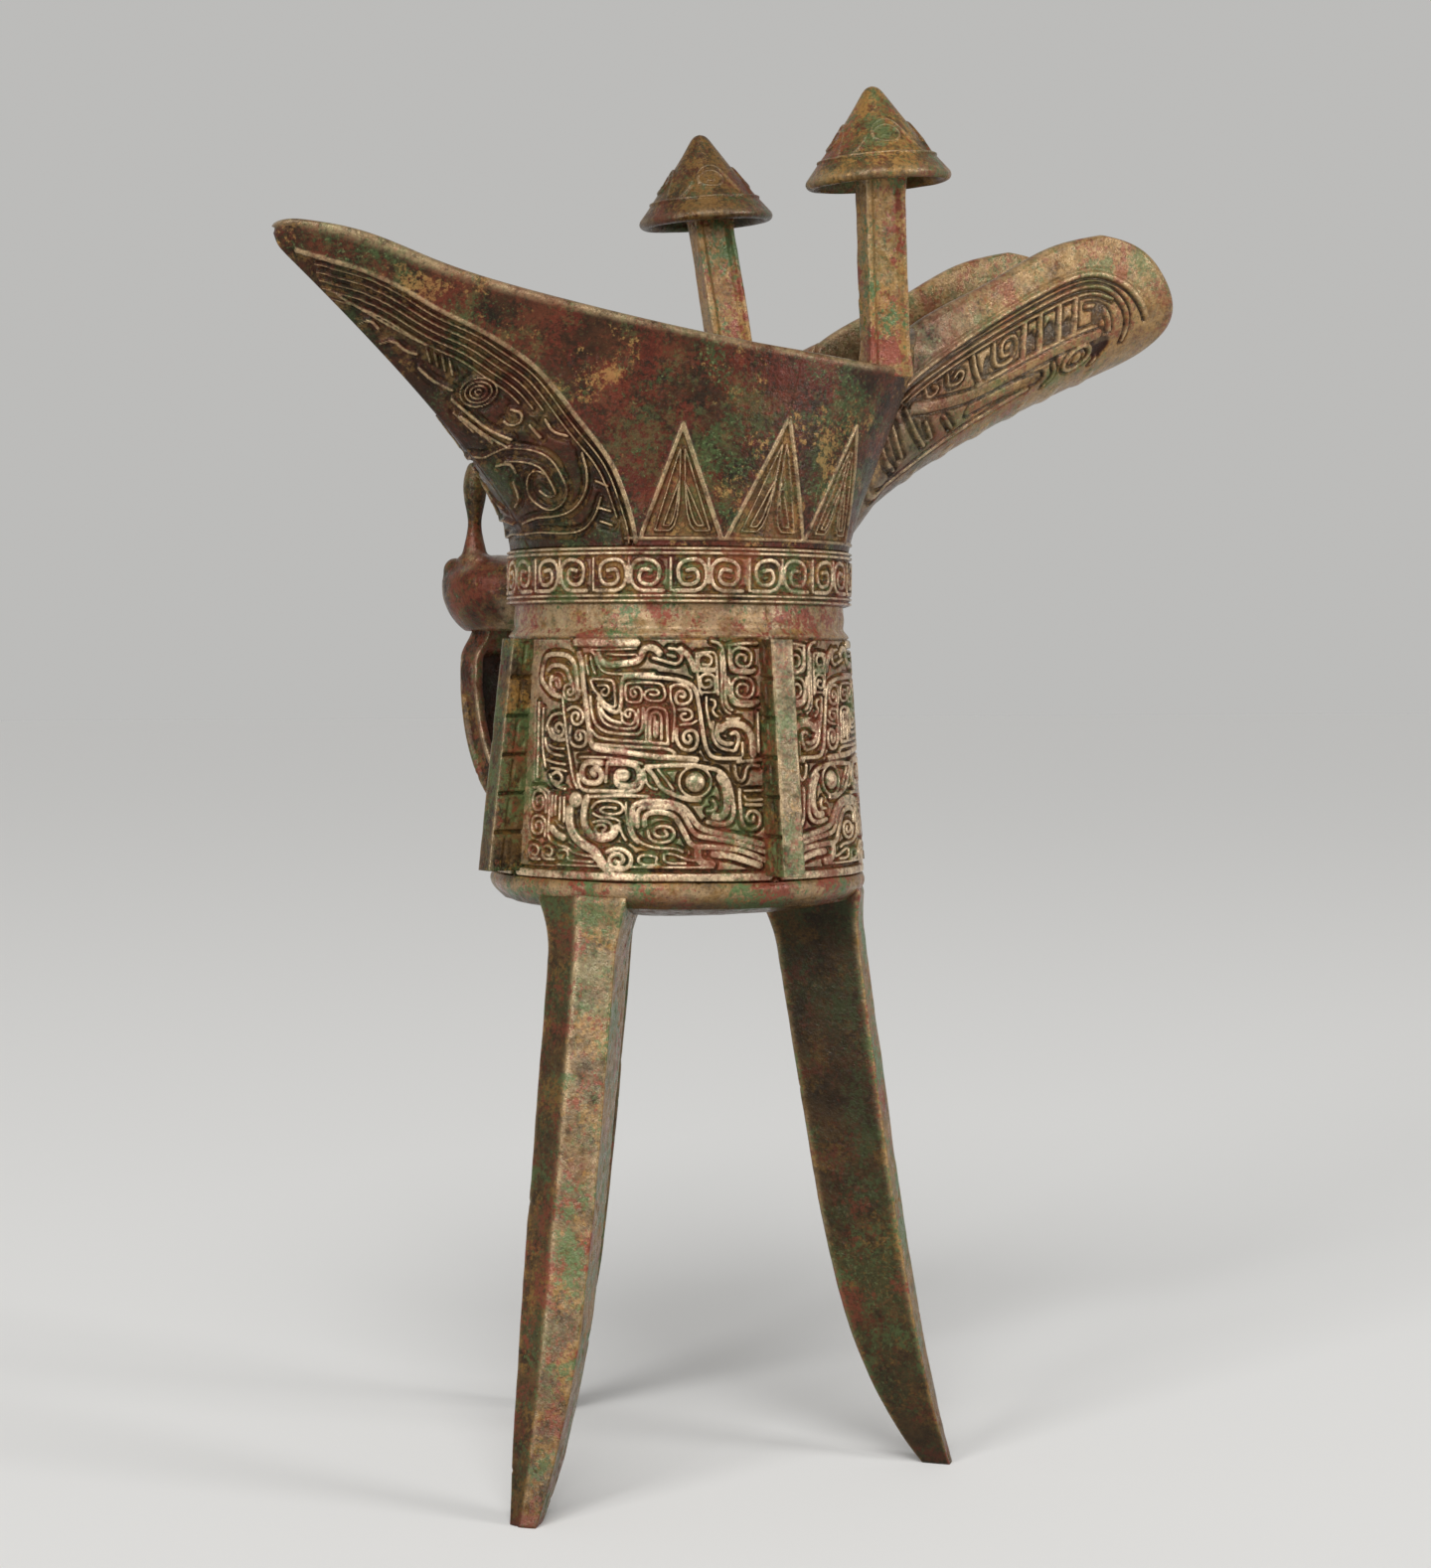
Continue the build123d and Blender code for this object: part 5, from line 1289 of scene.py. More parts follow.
    def build(self, shop: Workshop) -> None:
        """Make and dress both halves."""
        mouth = self.mouth
        a, z, below = self.lattice()
        arc, level = self.arc_at(a, z), z - mouth.neck_top
        outer = mouth.section(a, z)
        inner = mouth.section(a, z, mouth.wall, self.keel_wall)
        rim = mouth.rim_at(outer[..., 0])
        drop = np.maximum(rim - mouth.rim_at(inner[..., 0]), 0.0) * (outer[..., 0] > 20.0)
        inner[..., 2] -= drop * (1.0 - below / (rim - mouth.neck_top))
        drawn = np.where(below < self.plain_rim, PLAIN_LEVEL, self.relief().at(arc, level))
        skin = (drawn - PLAIN_LEVEL) * self.depth + self.skin * cast_skin(outer, 13)
        sideways = outer * np.array([0.3, 1.0, 0.0])
        outer = pushed(outer, sideways, skin * ease(outer[..., 1], 0.15, 1.2))
        outer, inner = mouth.rolled(outer, inner, below)
        relief = unit(drawn)
        on_tail = ease(self.tail_border(arc) - level, 0.0, 1.0)
        on_tail *= ease(arc, self.tail_start, self.tail_start + 1.0)
        marks = {"relief": relief, "wear": mouth.rim_wear(below),
                 "gilt": 0.4 * (arc < self.tail_start) * (drawn < 0.5),
                 "gloom": 0.6 * on_tail * (1.0 - ease(relief, 0.5, 0.9))}
        split = int(self.back_share * self.split_share * self.columns)
        for name, side in self.names:
            turn = np.array([1.0, side, 1.0])
            for part, cut in (("tail", np.s_[:split + 1]), ("front", np.s_[split:])):
                kept = {key: values[cut] for key, values in marks.items()}
                piece = MeshGrid.shell(f"mouth_{name}_{part}", outer[cut] * turn, inner[cut] * turn, kept)
                shop.fit(piece, Zone.MOUTH, "mouth_collar")


@dataclass
class Spout:
    """Open pouring channel with its rounded lip."""

    mouth: Mouth
    columns: int = 300
    rows: int = 320
    lap: float = 1.4
    side_girth: float = 33.0
    length: float = 58.0
    seam_search: tuple = (20.0, 45.0)
    plain_lip: float = 81.0
    plain_keel: tuple = (78.0, 14.0)
    depth: float = 0.8
    skin: float = 0.5
    plain_rim: float = 1.2
    panel_low: tuple = (20.0, -0.5)
    panel_high: tuple = (92.0, 40.0)
    eye: tuple = (67.6, 13.6)
    pits: tuple = ((48.3, 20.4, 0.8, 2.0), (53.4, 21.2, 0.6, 1.4), (56.9, 20.6, 1.0, 1.9),
                   (60.6, 20.6, 1.1, 2.0), (64.1, 20.0, 1.0, 1.7), (70.4, 19.9, 1.4, 2.0),
                   (72.4, 13.6, 1.7, 1.8))
    lumps: int = 6
    lump_pitch: float = 7.0
    first_lump: float = 40.0

    def girth(self, x: Grid, z: Grid) -> Grid:
        """Return the distance round the outside from the keel to a height."""
        radius = self.mouth.channel
        deep = z - self.mouth.keel(x)
        bent = radius * np.arccos(np.clip(1.0 - deep / radius, -1.0, 1.0))
        return np.where(deep < radius, bent, radius * QUARTER + deep - radius)

    def points(self, x: Grid, girth: Grid, wall: float = 0.0) -> Grid:
        """Return points of the channel, near side for negative girths.

        Args:
            x: Place along the vessel.
            girth: Distance round the outside from the keel.
            wall: How far the surface is set in.

        Returns:
            The points in millimetres.
        """
        radius = self.mouth.channel
        turn = np.minimum(np.abs(girth) / radius, QUARTER)
        y = np.sign(girth) * (radius - wall) * np.sin(turn)
        z = self.mouth.keel(x) + wall + (radius - wall) * (1.0 - np.cos(turn))
        return np.stack([x, y, z + np.maximum(np.abs(girth) - radius * QUARTER, 0.0)], -1)

    def start(self, girth: Grid) -> Grid:
        """Return where the channel leaves the collar at each girth."""
        x = 30.0 + 0 * girth
        for _ in range(80):
            spot = self.points(x, girth)
            widest, front, half, squareness = self.mouth.front_shape(spot[..., 2])
            share = unit(np.abs(spot[..., 1]) / half)
            met = widest + (front - widest) * (1.0 - share ** squareness) ** (1.0 / squareness)
            x = 0.5 * x + 0.5 * met
        return x - self.lap

    def lattice(self) -> tuple:
        """Return the place, girth, side and distance from the rim of each vertex, blended from the edges."""
        mouth, middle = self.mouth, self.rows // 2
        p = fine_ends(self.columns, 0.018)[:, None]
        side = fine_ends(middle + 1, 0.034)
        q = np.concatenate([-side[:0:-1], side])[None, :]
        up = np.abs(q)
        tries = np.linspace(*self.seam_search, 200)
        begin = self.start(self.girth(tries, mouth.rim_at(tries)))
        first = tries[np.argmin(np.abs(begin - tries))]
        rim_x = first + (mouth.peak - first) * p
        rim = np.stack([rim_x, self.girth(rim_x, mouth.rim_at(rim_x))], -1)
        line = np.stack([mouth.lip_line[:, 0], self.girth(*mouth.lip_line.T)], -1)
        line[0, 1] = 0.0
        reach = arc_length(line) / arc_length(line)[-1]
        lip = np.stack([np.interp(up, reach, line[:, k]) for k in (0, 1)], -1)
        seam_girth = up * self.girth(first, mouth.rim_at(first))
        seam = np.stack([self.start(seam_girth), seam_girth], -1)
        keel_x = seam[0, middle, 0] + (line[0, 0] - seam[0, middle, 0]) * p
        keel = np.stack([keel_x, 0 * keel_x], -1)
        edge = np.minimum((1.0 - up) * self.side_girth, (1.0 - p) * self.length)
        sign = np.sign(q) + 0 * p
        p, up = p[..., None], up[..., None]
        blend = (1 - up) * keel + up * rim + (1 - p) * seam + p * lip
        blend -= (1 - p) * ((1 - up) * keel[:1] + up * rim[:1]) + p * ((1 - up) * keel[-1:] + up * rim[-1:])
        return blend[..., 0], blend[..., 1], sign, edge

    def relief(self) -> Relief:
        """Return the height map of one side."""
        panel = Relief(self.panel_low, self.panel_high)
        x, girth = panel.cells()
        border = stroke_points(SPOUT_STROKES[0])
        plain = girth > np.interp(x, border[:, 0], border[:, 1]) - 0.2
        plain |= (x > self.plain_lip) | ((x > self.plain_keel[0]) & (girth < self.plain_keel[1]))
        panel.draw(SPOUT_STROKES)
        panel.ring(0.7, *self.eye, wide=2.6, high=1.9)
        panel.boss(*self.eye, radius=1.1)
        panel.settle()
        for pit in self.pits:
            panel.pit(*pit)
        for k in range(self.lumps):
            middle = self.first_lump + self.lump_pitch * k
            lump = np.exp(-((x - middle + 0.25 * girth) / 2.2) ** 2) * ease(-girth, -10.5, -8.0)
            panel.heights = np.maximum(panel.heights, lump)
        panel.heights = np.where(plain, np.maximum(panel.heights, PLAIN_LEVEL), panel.heights)
        return panel

    def build(self, shop: Workshop) -> None:
        """Make and dress the channel."""
        mouth = self.mouth
        x, girth, side, edge = self.lattice()
        outer = self.points(x, girth * side)
        inner = self.points(x, girth * side, mouth.wall)
        drawn = np.where(edge < self.plain_rim, PLAIN_LEVEL, self.relief().at(x, girth))
        skin = (drawn - PLAIN_LEVEL) * self.depth + self.skin * cast_skin(outer, 17)
        outer = pushed(outer, outer - inner, skin * ease(edge, 0.0, 1.5))
        outer, inner = mouth.rolled(outer, inner, edge)
        relief = unit(drawn)
        # The rim is scuffed; the upper part of the sides gets a painted highlight, as it faces up into the
        # light.
        marks = {"relief": relief, "wear": np.maximum(mouth.rim_wear(edge), 0.45 * (girth > 14.0)),
                 "gilt": 0.8 * ease(x, 36.0, 52.0) * ease(relief, 0.4, 0.6),
                 "gloom": 0.8 * (1.0 - ease(relief, 0.15, 0.55))}
        keel = self.rows // 2
        for name, cut in (("near", np.s_[:, :keel + 1]), ("far", np.s_[:, keel:])):
            kept = {key: values[cut] for key, values in marks.items()}
            piece = MeshGrid.shell(f"spout_{name}_side", outer[cut], inner[cut], kept)
            shop.fit(piece, Zone.MOUTH, "spout")


# Rods, fins and turned pieces

def rounded_loops(corners: tuple, counts: tuple, soft: float) -> tuple:
    """Sample sections with softened corners.

    Args:
        corners: The two coordinates of each corner, each with a value for every level.
        counts: How many samples each side gets.
        soft: How far the corners are smoothed, in samples.

    Returns:
        The loops with the first sample repeated, and how near each sample is to a corner, 0 to 1.
    """
    spots = np.stack([np.stack(pair, -1) for pair in corners], 1)
    parts = []
    for k, count in enumerate(counts):
        share = np.linspace(0.0, 1.0, count, endpoint=False)[:, None]
        first, second = spots[:, k, None], spots[:, (k + 1) % len(counts), None]
        parts.append(first + (second - first) * share)
    loop = np.concatenate(parts, axis=-2)
    total = loop.shape[-2]
    reach = int(4 * soft) + 1
    weights = np.exp(-0.5 * (np.arange(-reach, reach + 1) / soft) ** 2)
    weights /= weights.sum()
    loop = sum(w * np.roll(loop, k - reach, axis=-2) for k, w in enumerate(weights))
    apart = np.abs(np.arange(total)[:, None] - np.cumsum((0,) + counts[:-1]))
    near = np.exp(-(np.minimum(apart, total - apart).min(1) / (1.6 * soft)) ** 2)
    return np.concatenate([loop, loop[..., :1, :]], -2), np.append(near, near[0])


def upright(loop: Grid, z: Grid) -> Grid:
    """Return sections at their levels as points, with rows round the body and columns up it."""
    level = np.broadcast_to(z[:, None, None], loop[..., :1].shape)
    return np.concatenate([loop, level], -1).transpose(1, 0, 2)


def weathered(points: Grid, seed: int, amount: float) -> Grid:
    """Return points of a closed body moved along its normals by the cast skin."""
    moved = pushed(points, points - points.mean(0, keepdims=True), amount * cast_skin(points, seed))
    moved[-1] = moved[0]
    return moved


def turned_to(points: Grid, angle: float) -> Grid:
    """Return points turned about the vessel's axis by an angle in degrees."""
    c, s = math.cos(math.radians(angle)), math.sin(math.radians(angle))
    return points @ np.array([[c, s, 0.0], [-s, c, 0.0], [0.0, 0.0, 1.0]])


@dataclass
class Legs:
    """Three splayed blade legs with a ridge down the outside.

    The outer and inner edges are given by the radius at the shoulder, the splay and the turn of the toe.
    A leg's painted shades and gilts go round its five faces, from the one that follows the inner edge; the
    shades darken the faces that turn from the lamps.
    """

    height: float = 88.8
    root: float = 2.4
    outer: tuple = (28.2, 12.0, 2.9)
    inner: tuple = (13.9, 14.7, 9.7)
    top_width: float = 11.8
    foot_width: float = 4.4
    ridge: float = 1.6
    half_edge: float = 0.8
    flare: float = 1.9
    flare_share: float = 0.1
    swell: float = 0.6
    swell_share: float = 0.07
    rows: int = 230
    counts: tuple = (44, 26, 26, 44, 8)
    ridge_face: int = 2
    corner_soft: float = 1.5
    skin: float = 1.1
    # Per leg: its node, its turn, the painted shade of each face (strongest on faces turned from the lamps)
    # and the gilt of each face.
    legs: tuple = (("leg_tail_side", -151.5, (0.2, 0.6, 0.0, 0.1, 0.2), (0.4, 0.1, 0.1, 0.8, 0.2)),
                   ("leg_spout_side", -30.0, (0.95, 0.0, 0.2, 0.4, 0.5), (0.1, 0.8, 0.3, 0.3, 0.2)),
                   ("leg_handle_side", 90.0, (0.4, 0.3, 0.3, 0.4, 0.3), (0.3, 0.2, 0.2, 0.3, 0.2)))

    def build(self, shop: Workshop) -> None:
        """Make and dress the legs."""
        z = np.linspace(0.0, self.height + self.root, self.rows)
        down = unit(1.0 - z / self.height)
        flare = self.flare * unit(1.0 - down / self.flare_share) ** 2
        swell = unit(1.0 - down / self.swell_share) ** 2 * (1.0 - ease(z, self.height, z[-1]))
        outer = self.outer[0] + self.outer[1] * down + self.outer[2] * down ** 4 + self.swell * swell
        inner = self.inner[0] + self.inner[1] * down + self.inner[2] * down ** 6 - flare
        width = self.top_width - (self.top_width - self.foot_width) * down ** 5
        half, edge = width / 2 + flare, self.half_edge + flare / 2
        ridge = outer - self.ridge * width / self.top_width + 0.5 * swell
        corners = ((inner, -edge), (ridge, -half), (outer, 0 * z), (ridge, half), (inner, edge))
        loop, near = rounded_loops(corners, self.counts, self.corner_soft)
        points, near = upright(loop, z), near[:, None]
        face = np.repeat(np.arange(len(self.counts)), self.counts)
        face = np.append(face, face[0])[:, None]
        # Abraded corners, and pale bare metal on the ridge face that is partly a painted satin highlight.
        wear = near * (0.6 - 0.4 * down) + 0.35 * (face == self.ridge_face) * (1.0 - 0.7 * down)
        for seed, (node, angle, face_shades, gilts) in enumerate(self.legs, 21):
            shape = weathered(turned_to(points, angle), seed, self.skin)
            shape[:, 0, 2] = 0.0
            # Painted shade on the faces turned from the lamps, weaker towards the foot and off the corners;
            # the whole leg is also darker towards the foot.
            gloom = np.array(face_shades)[face] * (1.0 - 0.45 * ease(down, 0.35, 0.75)) * (1.0 - near)
            marks = {"relief": PLAIN_LEVEL, "wear": wear, "gilt": np.array(gilts)[face],
                     "gloom": gloom + 0.5 * ease(down, 0.65, 1.0)}
            shop.fit(MeshGrid.closed(node + "_blade", shape, marks), Zone.LEG, node)


@dataclass
class Posts:
    """Two strip posts on the rim, each with a hollow cone cap."""

    foot: tuple = (22.9, 21.58, 169.0)
    lean: tuple = (-3.7, 3.4, 30.0)
    width: float = 7.3
    depth: float = 4.6
    bevel: float = 1.0
    sunk: float = 1.6
    hollow: float = 0.55
    rows: int = 130
    counts: tuple = (44, 24, 44, 24)
    corner_soft: float = 1.5
    skin: float = 1.3
    cap_radius: float = 10.9
    cap_height: float = 14.6
    cap_seat: float = 3.6
    cap_tilt: float = 5.5
    cap_turn: float = 150.0
    cap_skin: float = 0.8
    cap_columns: int = 220
    eyes: int = 4
    eye_depth: float = 0.3
    eye_strokes: tuple = (
        (0.4, 2.6, 6.0, 2.2, 7.8, 3.0, 9.3, 4.8, 9.9, 6.6, 9.3, 7.6, 7.4, 8.2, 5.0, 8.6, 3.4),
        (0.4, 0.2, 3.4, 1.2, 5.4, 1.6, 6.6), (0.35, 4.0, 6.6, 4.7, 6.3, 5.2, 6.9))
    names: tuple = (("near_post", -1.0, 0.2), ("far_post", 1.0, 0.65))

    def middle(self, rise: Grid, side: float) -> tuple:
        """Return the place of a post's middle at a share of its length."""
        return self.foot[0] + self.lean[0] * rise, side * (self.foot[1] + self.lean[1] * rise)

    def strip(self, node: str, side: float, shop: Workshop) -> None:
        """Make and dress one post.

        Args:
            node: Name of the post's node.
            side: -1 for the near post and 1 for the far one.
            shop: Puts the finish on it.
        """
        up = np.linspace(-self.sunk, self.lean[2] + 1.0, self.rows)
        swell = 1.0 + 0.16 * ease(up, 25.0, 31.0) + 0.08 * ease(-up, -3.0, 0.0)
        w, d = self.width / 2 * swell, self.depth / 2 * swell
        back = w - self.bevel
        loop, near = rounded_loops(((-w, -d), (w, -d), (back, d), (-back, d)), self.counts, self.corner_soft)
        x, y = loop[..., 0], loop[..., 1]
        hollow = self.hollow * ease(-np.abs(x / w[:, None]), -0.78, -0.5)
        y = y - np.sign(y) * hollow * ease(np.abs(y / d[:, None]), 0.75, 0.95)
        along, across = self.middle((up / self.lean[2])[:, None], side)
        points = upright(np.stack([x + along, y + across], -1), self.foot[2] + up)
        points = weathered(points, 31 + int(side), self.skin)
        marks = {"relief": (PLAIN_LEVEL - 0.3 * hollow).T, "wear": np.maximum(0.9 * near, 0.2)[:, None],
                 "gilt": 0.75}
        shop.fit(MeshGrid.closed(node + "_strip", points, marks), Zone.POST, node)

    def cap_relief(self, slant: float) -> Relief:
        """Return the height map of one eye of a cap, by angle share and height up the cone."""
        pitch = 2 * math.pi * 6.5 / self.eyes
        panel = Relief((0.0, 0.0), (pitch, slant))
        panel.ridge(0.42, -0.5, 3.2, pitch + 0.5, 3.2)
        panel.ring(0.42, 4.6, 7.0, wide=2.0, high=1.65)
        panel.draw(self.eye_strokes)
        return panel

    def cap_profile(self) -> tuple:
        """Return radii and heights from the tip over the edge to the underside, and the cone's count."""
        low, tip, radius = -self.cap_seat, self.cap_height - self.cap_seat, self.cap_radius
        nose = spline([(0.05, tip), (0.8, tip - 0.25), (1.6, tip - 1.05)], 14)
        edge = [(0.15, 1.3), (0.0, 0.75), (0.3, 0.2), (0.9, 0.0), (1.6, 0.4), (2.0, 1.3)]
        lip = spline([(radius - inset, low + rise) for inset, rise in edge], 30)
        down = np.linspace(0.0, 1.0, 110)[1:, None]
        cone = nose[-1] + (np.array([radius - 0.15, low + 1.3]) - nose[-1]) * down
        cone = np.concatenate([nose, cone - 0.15 * np.sin(math.pi * down)])
        under = [(4.6, 1.2), (4.4, 0.4), (2.4, 0.2), (0.05, 0.2)]
        return np.concatenate([cone, lip[1:], under]), len(cone)

    def cap(self, node: str, side: float, gloom: float, shop: Workshop) -> None:
        """Make and dress one cap.

        Args:
            node: Name of the post's node.
            side: -1 for the near cap and 1 for the far one.
            gloom: How dark the cap is.
            shop: Puts the finish on it.
        """
        profile, cone = self.cap_profile()
        radius, height = profile.T
        turn = np.linspace(0.0, 2 * math.pi, self.cap_columns)[:, None]
        slant = arc_length(profile)
        foot = slant[cone - 1]
        panel = self.cap_relief(foot)
        pitch = panel.high[0]
        along = (turn + math.radians(self.cap_turn)) / (2 * math.pi) * self.eyes * pitch % pitch
        drawn = panel.at(along, foot - slant)
        points = revolved(radius, height, turn)
        skin = self.cap_skin * cast_skin(points + 40.0 * side, 41) * ease(radius, 0.3, 2.0)
        lift = np.where(slant < foot + 6.0, self.eye_depth * drawn + skin, 0.0)
        points = pushed(points, points + np.array([0.0, 0.0, 2.0]), lift)
        points[-1] = points[0]
        c, s = math.cos(math.radians(self.cap_tilt)), math.sin(math.radians(self.cap_tilt))
        points = points @ np.array([[c, 0.0, s], [0.0, 1.0, 0.0], [-s, 0.0, c]])
        points += np.array([*self.middle(1.0, side), self.foot[2] + self.lean[2]])
        # Painted shade on the cap's underside: it is marked low and darker.
        hidden = ease(slant, foot + 4.0, foot + 6.0)
        marks = {"relief": unit(PLAIN_LEVEL - 0.1 + 0.3 * drawn - 0.6 * hidden),
                 "wear": 0.5 * np.exp(-((slant - foot - 0.4) / 0.8) ** 2),
                 "gilt": 0.2, "gloom": gloom + 0.5 * hidden}
        shop.fit(MeshGrid.closed(node + "_cone", points, marks), Zone.POST, node + "_cap")

    def build(self, shop: Workshop) -> None:
        """Make and dress both posts and caps."""
        for node, side, gloom in self.names:
            self.strip(node, side, shop)
            self.cap(node, side, gloom, shop)


@dataclass
class Flanges:
    """Three upright fins on the cup, with cross grooves and hooked marks on their sides."""

    low: float = 93.0
    high: float = 127.5
    width: float = 3.7
    low_reach: float = 33.6
    high_reach: float = 29.6
    root: float = 25.9
    notches: int = 5
    notch_depth: float = 0.62
    mark_depth: float = 0.26
    rows: int = 230
    counts: tuple = (34, 16, 34, 4)
    corner_soft: float = 1.1
    skin: float = 0.8
    angles: tuple = (("tail_flange", 180.0), ("front_flange", -90.0), ("spout_flange", 0.0))
    rubbed_and_highlit: str = "front_flange"

    def build(self, shop: Workshop) -> None:
        """Make and dress the fins."""
        z = np.linspace(self.low, self.high, self.rows)
        rise = (z - self.low) / (self.high - self.low)
        reach = self.low_reach + (self.high_reach - self.low_reach) * rise
        root, half = self.root + 0 * z, self.width / 2 + 0 * z
        corners = ((root, -half), (reach, -half), (reach, half), (root, half))
        loop, near = rounded_loops(corners, self.counts, self.corner_soft)
        cell = (rise * (self.notches + 1))[:, None]
        apart = np.abs(cell - np.rint(cell)) * (self.high - self.low) / (self.notches + 1)
        groove = (1.0 - ease(apart, 0.12, 0.42)) * (cell > 0.5) * (cell < self.notches + 0.5)
        depth = reach[:, None] - loop[..., 0]
        hook = np.maximum(np.abs(depth - 2.2) - 0.16, np.abs(cell % 1.0 - 0.5) - 0.28)
        foot = np.maximum(np.abs(depth - 2.9) - 0.75, np.abs(cell % 1.0 - 0.24) - 0.035)
        mark = 1.0 - ease(np.minimum(hook, foot), 0.0, 0.16)
        cut = np.minimum(self.notch_depth * groove + self.mark_depth * mark, self.notch_depth)
        side = np.sign(loop[..., 1]) * ease(depth, 0.15, 0.5)
        loop[..., 1] -= side * cut
        points = upright(loop, z)
        outside = (1.0 - ease(depth, 0.1, 0.8)).T
        relief = unit(PLAIN_LEVEL - 0.9 * (np.abs(side) * cut).T)
        for seed, (node, angle) in enumerate(self.angles, 51):
            shape = weathered(turned_to(points, angle), seed, self.skin)
            # The front fin's outer face is pale: a painted highlight where it catches the light; the other
            # fins' outer faces are darker.
            rubbed_and_highlit = outside * (node == self.rubbed_and_highlit)
            marks = {"relief": relief, "wear": unit(near[:, None] * 0.7 + 0.4 * rubbed_and_highlit),
                     "gloom": 0.25 * (outside - rubbed_and_highlit)}
            shop.fit(MeshGrid.closed(node + "_fin", shape, marks), Zone.FLANGE, node)


@dataclass
class BasePlate:
    """Round convex bottom of the cup."""

    radius: float = 28.8
    top: float = 92.0
    edge: float = 88.8
    sag: float = 3.3
    belly_inset: float = 2.2
    disc: float = 25.4
    disc_top: float = 93.6
    skin: float = 1.4
    columns: int = 300

    def profile(self) -> Grid:
        """Return radii and heights from the floor's middle over the edge to the belly's middle."""
        across = np.linspace(self.radius - self.belly_inset, 0.05, 50)
        belly = np.stack([across, self.edge - self.sag * (1.0 - (across / self.radius) ** 2) ** 0.8], -1)
        edge = [(0.3, 0.0), (0.0, 0.8), (0.25, 1.9), (1.1, 2.9)]
        side = spline([(self.radius - inset, self.top - drop) for inset, drop in edge] + [belly[0]], 40)
        floor = [(0.05, self.disc_top), (self.disc, self.disc_top), (self.disc, self.top)]
        return np.concatenate([floor, side, belly[1:]])

    def build(self, shop: Workshop) -> None:
        """Make and dress the plate."""
        radius, height = self.profile().T
        points = revolved(radius, height, np.linspace(0.0, 2 * math.pi, self.columns)[:, None])
        outward = points - np.array([0.0, 0.0, self.top])
        points = pushed(points, outward, self.skin * cast_skin(points, 61))
        points[-1] = points[0]
        below = self.top - height
        # The lower edge and the downward-facing belly get a painted shade.
        marks = {"relief": PLAIN_LEVEL, "gilt": 0.5, "gloom": 0.7 * ease(below, 2.4, 3.4),
                 "wear": 0.35 * np.exp(-((below - 1.4) / 1.1) ** 2) * (radius > 27.0)}
        shop.fit(MeshGrid.closed("base_bowl", points, marks), Zone.CUP, "base_plate")


